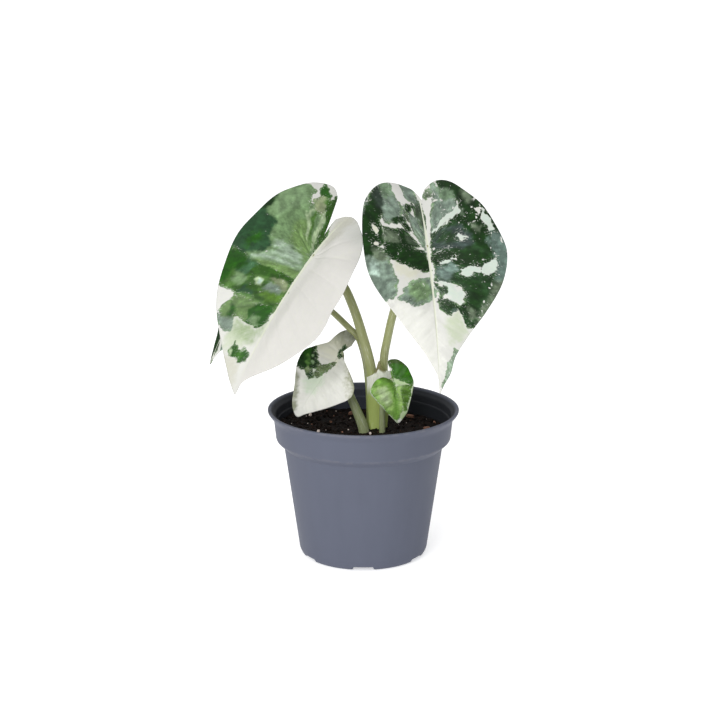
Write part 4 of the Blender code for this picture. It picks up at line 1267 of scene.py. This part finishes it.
def painted(plan, leaf, a, b):
    """Border, green colour and pale colour at each point.

    The patches are laid over each other in order, on coordinates that noise has pushed about and
    with edges that fray along the side veins. The border is the distance in mm into green tissue,
    negative in pale tissue: it is what the material cuts the two colours by. Green patches grow a
    little, so that neighbours meet."""
    where = np.stack([a, b], axis=-1)
    reach, order, _ = vein_numbers(plan, a, b)
    along = np.stack([reach / 4.5, order * plan.vein_gap / 0.9], axis=-1)
    teeth = np.stack([reach / 5.0, order * plan.vein_gap / 2.6], axis=-1)
    push = plan.ragged
    streak = noise(along, 67) + 0.6 * noise(where / 0.9, 73) + 1.1 * push * noise(teeth, 79)
    wa = a + 1.1 * push * fractal(where / (7.0 * push), 3, 61)
    wb = b + 1.1 * push * fractal(where / (7.0 * push), 3, 71)
    border = np.full(a.shape, -BORDER_REACH)
    green = np.broadcast_to(TONES["dull_sage"], a.shape + (3,)).copy()
    pale = np.broadcast_to(tuple(leaf.white), a.shape + (3,)).copy()
    grit = 0.45 * noise(where / 1.5, 107) + 0.5 * noise(where / 0.8, 109) + 0.5 * noise(teeth, 113)
    for tone, corners, *soft in plan.patches:
        width = 0.8 * soft[0] if soft else 0.7
        depth = inside_by(wa, wb, corners) + 0.6 * push * streak
        share = smoothstep(-width, width, depth + 0.7 * (width - 0.3) * grit)
        if tone in TONES:
            depth = depth + plan.grow
            border = np.maximum(border, depth)
            green = mix(green, TONES[tone], share)
            green = np.where((depth > -1.5)[..., None] & (border <= 0.0)[..., None],
                             TONES[tone], green)
        else:
            border = np.minimum(border, -depth)
            pale = mix(pale, PALE_TONES[tone], share * np.clip(0.85 + 0.15 * streak, 0.0, 1.0))
    dots = noise(where / 1.9, 97) + 0.5 * noise(where / 0.8, 101) + 0.4 * noise(where / 9.0, 103)
    border = np.minimum(border, 4.0 * (plan.flecks - 0.008 * b - dots))
    cloud = fractal(where / 2.6, 3, 83)
    fleck = fractal(np.stack([reach / 3.2, order * plan.vein_gap / 1.5], axis=-1), 3, 89)
    green = green * np.exp(plan.marble * fleck + 0.10 * streak + 0.08 * cloud)[..., None]
    pale = pale * (1.0 + 0.010 * streak + 0.012 * cloud)[..., None]
    border = np.clip(border, -BORDER_REACH, BORDER_REACH)
    return border, np.clip(green, DARKEST, 1.0), np.clip(pale, 0.0, 1.0)


def leaf_grid(plan):
    """(a, b) of every ring and ray: ring k of ray j lies the ring's share of the way from the
    joint to the outline. Beside a slit, the left lobe's rays bulge to the right between their
    ends, by 4 s (1 - s) of their share s."""
    outline = curve_through(plan.left + plan.right[1:], plan.rays + (not plan.slit))
    if not plan.slit:
        outline = outline[:-1]
    share = np.linspace(0.0, 1.0, plan.rings + 1)[1:, None] ** 0.92
    a = outline[None, :, 0] * share
    b = outline[None, :, 1] * share
    near_slit = smoothstep(SLIT_SHARE, 0.0, np.linspace(0.0, 1.0, plan.rays))[None, :]
    b = b + plan.sinus_bulge * near_slit * 4.0 * share * (1.0 - share)
    return a, b, share


def leaf_relief(plan, leaf, a, b, share):
    """Heights in mm of the upper and lower faces over the middle layer, and the distance of each
    point from its side vein.

    Each half is a dome, sin(pi s)^1.2 of the share s of the way out from the joint. The side
    veins sink into the upper face and stand out below, and the blade swells between them by
    sin(pi t)^1.2 of the share t of the gap. The margin waves, and the faces meet at the edge."""
    reach, order, gap = vein_numbers(plan, a, b)
    off = np.abs(order - np.round(order)) * gap
    beside = np.exp(-(off / 1.1) ** 2)
    fade = smoothstep(1.0, 0.75, share) * smoothstep(0.5, 5.0, np.abs(b))
    swell = leaf.quilt / MM * np.sin(np.pi * np.clip(off / gap, 0.0, 0.5)) ** 1.2 * fade
    vein = leaf.vein_depth / MM * beside * fade * smoothstep(60.0, 10.0, reach)
    rib_half = plan.rib_width / 2 * smoothstep(1.02, 0.0, share * (a > 0) + 0.5 * share * (a <= 0))
    rib = np.exp(-(b / np.maximum(rib_half, 0.3)) ** 2)
    middle = np.sin(np.pi * np.clip(share, 0.0, 1.0)) ** 1.2 * smoothstep(0.0, 12.0, np.abs(b))
    dome = np.where(b < 0, plan.dome[0], plan.dome[1]) * middle
    along_edge = np.arctan2(b, a + 1e-9)
    wave = plan.wave * share ** 4 * np.sin(9.0 * along_edge + 1.3) * smoothstep(0.0, 14.0, np.abs(b))
    middle_layer = dome + wave + swell
    half = 0.5 * leaf.thickness / MM * np.sqrt(np.clip(1.0 - share ** 40, 0.0, 1.0))
    upper = middle_layer + half - vein - 0.35 * rib * smoothstep(1.0, 0.7, share)
    lower = middle_layer - half - 0.8 * vein - 1.1 * rib * rib_half / (plan.rib_width / 2)
    return upper, lower, off


def close_leaf(grid, hubs, slit):
    """Points and faces of a blade from the rings of its upper face, out from the joint, and of
    its lower face, back to it: a fan of triangles joins each face's inmost ring to its hub."""
    rows, columns = grid.shape[:2]
    points = np.vstack([grid.reshape(-1, 3), hubs])
    first, last = rows * columns, rows * columns + 1
    j = np.arange(columns - 1 if slit else columns)
    k = (j + 1) % columns
    end = (rows - 1) * columns
    faces = [grid_quads(rows, columns, wrap=not slit),
             np.stack([np.full(len(j), first), j, k], axis=-1),
             np.stack([np.full(len(j), last), end + k, end + j], axis=-1)]
    if slit:
        faces += slit_walls(rows, columns, first, last)
    return points, faces


def slit_walls(rows, columns, first, last):
    """Faces that close a slit's two edges: each joins row k of the upper face to the row of the
    lower face at the same distance from the joint."""
    k = np.arange((rows - 1) // 2)
    walls = []
    for column, flip in ((0, False), (columns - 1, True)):
        up, up_next = k * columns + column, (k + 1) * columns + column
        low, low_next = (rows - 1 - k) * columns + column, (rows - 2 - k) * columns + column
        quads = np.stack([up, low, low_next, up_next], axis=-1)[:-1]
        tip = np.array([[up[-1], low[-1], up_next[-1]]])
        hub = np.array([[first, last, low[0], up[0]]])
        for part in (quads, tip, hub):
            walls.append(part[:, ::-1] if flip else part)
    return walls


def both_faces(values, hub):
    """Values of the upper face's rings, then of the lower face's, which has the same ones but no
    edge ring of its own, then of the two hubs."""
    values = np.concatenate([values, values[:-1][::-1]])
    return np.concatenate([values.reshape((-1,) + values.shape[2:]), [hub, hub]])


def colour_leaf(piece, plan, leaf, a, b, share, off):
    """Store a blade's border, colours and vein map, with its veins drawn in and its lower face
    paler in the green tissue."""
    border, green, pale = painted(plan, leaf, a, b)
    reach, order, _ = vein_numbers(plan, a, b)
    cream, sage = np.array(leaf.cream), np.array(TONES["sage"])
    vein_line = np.exp(-(off / 0.55) ** 2) * smoothstep(45.0, 5.0, reach)
    green = mix(green, TONES["deep"], 0.22 * vein_line)
    rib_line = np.exp(-(b / (0.42 * plan.rib_width * (1.05 - share))) ** 2)
    border = mix(border, -1.5, plan.rib_tint * smoothstep(0.25, 0.6, rib_line))
    pale = mix(pale, cream, 0.8 * plan.rib_tint * rib_line)
    pale = mix(pale, PALE_TONES["shade"], 0.10 * vein_line)
    side_number = np.where(b > 0, 40.0, 0.0)
    vein_map = np.stack([reach * 0.28, order * plan.vein_gap * 0.9 + side_number,
                         np.zeros(a.shape)], axis=-1)
    back = np.concatenate([np.zeros(a.size), np.ones(a.size - plan.rays), [0.0, 1.0]])
    greens = both_faces(green, sage)
    add_values(piece, "border", both_faces(border, -1.5))
    add_values(piece, "speckled", both_faces(np.full(a.shape, plan.speckled), 0.0))
    add_values(piece, "green_colour", mix(greens, greens * 0.6 + sage * 0.4, back))
    add_values(piece, "pale_colour", both_faces(pale, cream))
    add_values(piece, "vein_map", both_faces(vein_map, np.zeros(3)))


def build_leaf(context, plan):
    """One closed blade: the upper face from the joint out to the edge, then the lower face back
    to the joint, with side walls where the blade is slit."""
    leaf = context.scene.alocasia_leaf
    hang = LeafFrame(plan)
    a, b, share = leaf_grid(plan)
    share = np.broadcast_to(share, a.shape)
    upper, lower, off = leaf_relief(plan, leaf, a, b, share)
    top = hang.points(a, b, upper)
    bottom = hang.points(a, b, lower)[:-1][::-1]
    top[-1] = hang.points(a[-1], b[-1], 0.5 * (upper[-1] + lower[-1]))
    zero = np.zeros(1)
    hubs = [hang.points(zero, zero, zero + lift)[0] for lift in HUB_LIFTS]
    points, faces = close_leaf(np.concatenate([top, bottom]), hubs, plan.slit)
    piece = add_piece(f"{plan.name}_lamina", points * MM, faces,
                      leaf_tissue(f"{plan.name}_tissue", leaf),
                      [f"{plan.name}_blade"])
    colour_leaf(piece, plan, leaf, a, b, share, off)


class ALOCASIA_OT_left_leaf(bpy.types.Operator):
    """Build the left tall leaf: a green and white half and an all white half"""
    bl_idname = "alocasia.left_leaf"
    bl_label = "Left leaf"

    def execute(self, context):
        build_leaf(context, LEFT_LEAF)
        return {"FINISHED"}


class ALOCASIA_OT_right_leaf(bpy.types.Operator):
    """Build the right tall leaf: a heart marbled dark green, grey green and white"""
    bl_idname = "alocasia.right_leaf"
    bl_label = "Right leaf"

    def execute(self, context):
        build_leaf(context, RIGHT_LEAF)
        return {"FINISHED"}


class ALOCASIA_OT_back_leaf(bpy.types.Operator):
    """Build the leaf that hangs behind the left one"""
    bl_idname = "alocasia.back_leaf"
    bl_label = "Back leaf"

    def execute(self, context):
        build_leaf(context, BACK_LEAF)
        return {"FINISHED"}


class ALOCASIA_OT_small_leaves(bpy.types.Operator):
    """Build the small white leaf and the small green leaf over the soil"""
    bl_idname = "alocasia.small_leaves"
    bl_label = "Small leaves"

    def execute(self, context):
        build_leaf(context, SMALL_WHITE_LEAF)
        build_leaf(context, SMALL_GREEN_LEAF)
        return {"FINISHED"}


# ------------------------------------------------------------------ stalks and sheath

STALK_FOOT = 70.2
STALK_ROWS = 220
STALK_SIDES = 36
STALK_GROOVE = 0.16
STREAK_STRETCH = 0.03
INTO_BLADE = -0.8           # the drop at which a stalk ends, just under the middle layer
FOOT_COLOUR_TO = 92.0
UPPER_COLOUR_FROM = 128.0

STALKS = {
    "left_leaf": dict(
        leaf=LEFT_LEAF, paint="olive",
        route=[(6.6, 1.6, STALK_FOOT), (6.6, 1.7, 86), (6.4, 2.0, 104), (4.6, 2.5, 118),
               (2.6, 3.0, 128), (-0.4, 4.0, 139), (-4.7, 6.0, 153), (-10.9, 10.0, 167.5),
               (-16.5, 13.5, 174.0), (-22.5, 15.5, 179.5), (-27.5, 13.0, 183.2)],
        radii=[4.3, 3.8, 3.7, 3.5, 3.3, 3.1, 2.9, 2.8, 2.7, 2.6, 2.4, 2.2, 2.0], drop=4.5),
    "right_leaf": dict(
        leaf=RIGHT_LEAF, paint="olive",
        route=[(12.2, 6.6, STALK_FOOT), (12.4, 6.6, 86), (12.7, 5.5, 108), (12.9, 4.4, 125),
               (15.0, 3.4, 138), (18.4, 2.6, 154), (23.0, 3.5, 168), (28.5, 5.2, 179),
               (33.5, 6.0, 188.0), (36.8, 3.8, 193.2)],
        radii=[3.2, 2.9, 2.8, 2.7, 2.6, 2.6, 2.5, 2.4, 2.3, 2.2, 2.1, 1.9], drop=4.5),
    "back_leaf": dict(
        leaf=BACK_LEAF, paint="olive",
        route=[(4.0, 8.6, STALK_FOOT), (4.0, 8.8, 86), (3.4, 9.0, 104), (1.6, 9.4, 120),
               (-1.0, 9.6, 131), (-3.8, 8.6, 138.4), (-8.4, 9.0, 143.0), (-20.1, 18.0, 152.2),
               (-33.0, 28.0, 160.0), (-46.0, 38.5, 165.5), (-55.0, 45.5, 167.5),
               (-60.5, 47.5, 169.0)],
        radii=[2.2, 2.1, 2.1, 2.0, 2.0, 2.0, 2.0, 1.9, 1.9, 1.8, 1.8, 1.8, 1.7, 1.6], drop=4.5),
    "small_white_leaf": dict(
        leaf=SMALL_WHITE_LEAF, paint="pale",
        route=[(0.4, -3.2, STALK_FOOT), (0.2, -3.2, 81), (-3.8, -2.6, 92), (-8.2, -0.6, 102),
               (-11.6, 4.0, 111), (-13.2, 8.0, 118), (-13.8, 9.4, 123.5)],
        radii=[3.7, 3.4, 3.0, 2.6, 2.3, 2.0, 1.8, 1.7, 1.5], drop=3.4),
    "small_green_leaf": dict(
        leaf=SMALL_GREEN_LEAF, paint="pale",
        route=[(11.8, -6.6, STALK_FOOT), (11.8, -6.8, 84), (12.0, -7.4, 98),
               (13.4, -7.4, 107), (15.6, -7.6, 112.2)],
        radii=[2.2, 1.9, 1.8, 1.6, 1.5, 1.4, 1.2], drop=2.6),
}


def tube(route, radii):
    """Round tube along a smooth route: each row is a circle across the route's direction,
    flattened into a shallow groove on the side that faces the back, with nine faint ribs round
    it. Gives the grid, the middle of each row, the distance run and the angle of each column."""
    line = curve_through([(*p, r) for p, r in zip(route, radii)], STALK_ROWS)
    centre, radius = line[:, :3], line[:, 3]
    ahead = unit(np.gradient(centre, axis=0))
    side = unit(np.cross(ahead, np.array([0.0, 1.0, 0.0])))
    back = np.cross(side, ahead)
    turn = np.arange(STALK_SIDES) * (math.tau / STALK_SIDES)
    dent = 1.0 - STALK_GROOVE * np.exp(-((turn - math.pi / 2) / 0.5) ** 2)
    ribs = 1.0 + 0.012 * np.sin(9 * turn)
    size = radius[:, None, None] * (dent * ribs)[None, :, None]
    grid = centre[:, None] + size * (np.cos(turn)[None, :, None] * side[:, None]
                                     + np.sin(turn)[None, :, None] * back[:, None])
    run = np.concatenate([[0.0], np.cumsum(np.linalg.norm(np.diff(centre, axis=0), axis=1))])
    return grid, centre, run, turn


class ALOCASIA_OT_stalks(bpy.types.Operator):
    """Run each leaf's stalk from the corm up to the joint under its blade"""
    bl_idname = "alocasia.stalks"
    bl_label = "Stalks"

    def execute(self, context):
        stalk = context.scene.alocasia_stalk
        skins = {"olive": stalk_skin("stalk_olive", stalk.lime, stalk.olive, stalk.blush),
                 "pale": stalk_skin("stalk_pale", stalk.moss, stalk.pale, stalk.blush)}
        for name, stem in STALKS.items():
            hang = LeafFrame(stem["leaf"])
            route = stem["route"] + [hang.under(-0.5, stem["drop"]), hang.under(-0.2, INTO_BLADE)]
            grid, centre, run, turn = tube(route, stem["radii"])
            points, faces = close_rows(grid, centre[0], centre[-1])
            faces = [f[:, ::-1] for f in faces]
            piece = add_piece(f"{name}_petiole", points * MM, faces, skins[stem["paint"]],
                              [f"{name}_stalk"])
            around = np.broadcast_to(turn, grid.shape[:2])
            far = np.broadcast_to(run[:, None], grid.shape[:2])
            place = np.stack([np.cos(around), np.sin(around), far * STREAK_STRETCH], axis=-1)
            ends = [[0, 0, 0], [0, 0, run[-1] * STREAK_STRETCH]]
            add_values(piece, "stalk_map", np.vstack([place.reshape(-1, 3), ends]))
            upper = smoothstep(FOOT_COLOUR_TO, UPPER_COLOUR_FROM, points[:, 2])
            add_values(piece, "upper", upper)
        return {"FINISHED"}


SHEATH_CENTRE = (9.0, 5.0)
SHEATH_RADIUS = 8.9
SHEATH_THICKNESS = 0.5
SHEATH_BOTTOM = 80.6
SHEATH_TOP = 119.5
SHEATH_ROWS = 90
SHEATH_COLUMNS = 120
SHEATH_START = 222.0        # degrees round its centre where the upper half starts
SHEATH_END = 350.0
SHEATH_LEAN = 14.0          # degrees further on that its foot starts
CREST_AT = 0.58             # share of the way round to the top edge's crest beside the web
CREST_FALL = 11.0
WEB_AT = 0.41               # share of the way round to the web between the stalks
WEB_WIDTH = 0.085
WEB_HEIGHT = 7.0
FOOT_PINCH = 0.28           # share by which the foot is narrower than the top
FOOT_SHIFT = 0.8            # how far the foot's centre lies to the left of the top's
SHEATH_SLACK = 0.3
TEAR_DEPTH = 0.3
CURL_DEPTH = 0.2
PLEAT_DEPTH = 0.06


def sheath_faces(rows, columns):
    """Faces of the sheath: its outer layer from foot to top edge and its inner one back down, the
    strip that joins them at the foot, and the two side edges."""
    quads = grid_quads(2 * rows, columns)[:, ::-1]
    j = np.arange(columns - 1)
    last = (2 * rows - 1) * columns
    foot = np.stack([j, last + j, last + j + 1, j + 1], axis=-1)
    k = np.arange(rows - 1)
    sides = []
    for column, flip in ((0, True), (columns - 1, False)):
        wall = np.stack([k * columns + column, (2 * rows - 1 - k) * columns + column,
                         (2 * rows - 2 - k) * columns + column, (k + 1) * columns + column],
                        axis=-1)
        sides.append(wall[:, ::-1] if flip else wall)
    return [quads, foot] + sides


class ALOCASIA_OT_sheath(bpy.types.Operator):
    """Wrap the papery sheath round the front of the tall stalks, with a web between them"""
    bl_idname = "alocasia.sheath"
    bl_label = "Sheath"

    def execute(self, context):
        across = np.linspace(0.0, 1.0, SHEATH_COLUMNS)[None, :]
        up = np.linspace(0.0, 1.0, SHEATH_ROWS)[:, None]
        start = SHEATH_START + SHEATH_LEAN * np.maximum(0.0, 1.0 - 2.0 * up)
        angle = np.radians(start + (SHEATH_END - start) * across)
        torn = TEAR_DEPTH * noise(np.stack([across[0] * 9.0, 0 * across[0]], axis=-1), 91)
        web = np.exp(-((across - WEB_AT) / WEB_WIDTH) ** 2)
        crest = SHEATH_TOP - CREST_FALL * np.abs(across - CREST_AT) ** 1.4
        crest = crest + WEB_HEIGHT * web + torn
        height = SHEATH_BOTTOM + (crest - SHEATH_BOTTOM) * up
        curl = CURL_DEPTH * smoothstep(0.86, 1.0, up) * np.sin(across * 11.0)
        pleat = PLEAT_DEPTH * np.sin(across * 60.0) * up
        narrow = 1.0 - FOOT_PINCH * (1.0 - up) ** 1.2
        layers = []
        for face in (0.5, -0.5):
            thickness = SHEATH_THICKNESS * (1 - 0.7 * up)
            radius = SHEATH_RADIUS * narrow + SHEATH_SLACK + face * thickness + curl + pleat
            layers.append(np.stack(np.broadcast_arrays(
                SHEATH_CENTRE[0] - FOOT_SHIFT * (1.0 - up) + radius * np.cos(angle),
                SHEATH_CENTRE[1] + radius * np.sin(angle), height), axis=-1))
        outer, inner = layers
        points = np.concatenate([outer, inner[::-1]]).reshape(-1, 3)
        piece = add_piece("sheath_sleeve", points * MM,
                          sheath_faces(SHEATH_ROWS, SHEATH_COLUMNS),
                          sheath_skin(context.scene.alocasia_stalk), ["stalk_sheath"])
        dry = up - 0.12 * smoothstep(0.1, 0.34, np.abs(across - 0.45)) + 0.16 * web * up ** 4
        add_values(piece, "dry", np.concatenate([dry, dry[::-1]]).ravel())
        flat = np.stack([np.broadcast_to(across * 9.0, dry.shape), dry * 1.5, 0 * dry], axis=-1)
        add_values(piece, "stalk_map", np.concatenate([flat, flat[::-1]]).reshape(-1, 3))
        return {"FINISHED"}


# ------------------------------------------------------------------ stage

FLOOR_HALF = 6.0
FLOOR_LEVEL = -0.0002
AIR_LIGHT = 0.62
LAMP_AIM = (0.0, 0.0, 0.12)
LAMPS = [("key", (-0.9, -2.0, 1.2), 1.5, 36.0), ("top", (-0.2, 0.2, 2.2), 2.0, 5.0)]


class ALOCASIA_OT_stage(bpy.types.Operator):
    """Lay the pale floor, hang the soft lights and place the camera"""
    bl_idname = "alocasia.stage"
    bl_label = "Stage"

    def execute(self, context):
        stage = context.scene.alocasia_stage
        self.lay_floor(context, stage)
        self.light(context)
        self.aim_camera(context, stage)
        context.scene.view_settings.view_transform = "Standard"
        return {"FINISHED"}

    def lay_floor(self, context, stage):
        """One wide square, a hair below the pot's base."""
        corners = [(x * FLOOR_HALF, y * FLOOR_HALF, FLOOR_LEVEL)
                   for x, y in ((-1, -1), (1, -1), (1, 1), (-1, 1))]
        mesh = bpy.data.meshes.new("floor")
        mesh.from_pydata(corners, [], [(0, 1, 2, 3)])
        mesh.materials.append(white_floor(stage))
        floor = bpy.data.objects.new("floor", mesh)
        context.scene.collection.objects.link(floor)

    def light(self, context):
        """White air, brighter to the camera than to the surfaces, and two square soft lamps,
        each with a name, a place, a size in metres and a power in watts."""
        world = bpy.data.worlds.new("studio_air")
        world.use_nodes = True
        tree = world.node_tree
        air = tree.nodes["Background"]
        air.inputs["Color"].default_value = (1.0, 1.0, 1.0, 1.0)
        seen_directly = tree.nodes.new("ShaderNodeLightPath").outputs["Is Camera Ray"]
        level = tree.nodes.new("ShaderNodeMapRange")
        level.inputs["To Min"].default_value = AIR_LIGHT
        level.inputs["To Max"].default_value = 1.0
        tree.links.new(seen_directly, level.inputs["Value"])
        tree.links.new(level.outputs["Result"], air.inputs["Strength"])
        context.scene.world = world
        aim = Vector(LAMP_AIM)
        for name, place, size, power in LAMPS:
            data = bpy.data.lights.new(name, "AREA")
            data.shape = "SQUARE"
            data.size = size
            data.energy = power
            lamp = bpy.data.objects.new(name, data)
            lamp.location = place
            lamp.rotation_euler = (aim - lamp.location).to_track_quat("-Z", "Y").to_euler()
            context.scene.collection.objects.link(lamp)

    def aim_camera(self, context, stage):
        """Stand the camera off the middle of the rim, then turn it up and to the left so that
        the rim's middle lies low and a little right of the picture's middle."""
        rim = Vector((0.0, 0.0, RIM_TOP * MM))
        tilt_up, turn_left = math.radians(1.2516), math.radians(0.0913)
        away = Vector((0.0, -math.cos(stage.height_angle), math.sin(stage.height_angle)))
        data = bpy.data.cameras.new("camera")
        data.sensor_width = 36.0
        data.lens = stage.lens
        data.clip_start, data.clip_end = 0.05, 60.0
        camera = bpy.data.objects.new("camera", data)
        camera.location = rim + away * stage.distance
        camera.rotation_euler = (math.pi / 2 - stage.height_angle + tilt_up, 0.0, turn_left)
        context.scene.collection.objects.link(camera)
        context.scene.camera = camera


# ------------------------------------------------------------------ panel and registration

STEPS = ("pot", "soil", "litter", "corm", "left_leaf", "right_leaf", "back_leaf", "small_leaves",
         "stalks", "sheath", "stage")


class ALOCASIA_PT_panel(bpy.types.Panel):
    """Settings and steps of the potted alocasia"""
    bl_idname = "ALOCASIA_PT_panel"
    bl_label = "Potted alocasia"
    bl_space_type = "VIEW_3D"
    bl_region_type = "UI"
    bl_category = "Alocasia"

    def draw(self, context):
        for name in SETTINGS:
            group = getattr(context.scene, name)
            box = self.layout.box()
            for key in group.bl_rna.properties.keys():
                if key not in ("rna_type", "name"):
                    box.prop(group, key)
        for step in STEPS:
            self.layout.operator(f"alocasia.{step}")


SETTINGS = {"alocasia_pot": PotSettings, "alocasia_soil": SoilSettings,
            "alocasia_leaf": LeafSettings, "alocasia_stalk": StalkSettings,
            "alocasia_stage": StageSettings}
CLASSES = tuple(SETTINGS.values()) + (
    ALOCASIA_OT_pot, ALOCASIA_OT_soil, ALOCASIA_OT_litter, ALOCASIA_OT_corm,
    ALOCASIA_OT_left_leaf, ALOCASIA_OT_right_leaf, ALOCASIA_OT_back_leaf,
    ALOCASIA_OT_small_leaves, ALOCASIA_OT_stalks, ALOCASIA_OT_sheath, ALOCASIA_OT_stage,
    ALOCASIA_PT_panel)


def register():
    for cls in CLASSES:
        bpy.utils.register_class(cls)
    for name, group in SETTINGS.items():
        setattr(bpy.types.Scene, name, PointerProperty(type=group))


def unregister():
    for name in SETTINGS:
        delattr(bpy.types.Scene, name)
    for cls in reversed(CLASSES):
        bpy.utils.unregister_class(cls)


def main():
    register()
    for step in STEPS:
        getattr(bpy.ops.alocasia, step)()


if __name__ == "__main__":
    main()
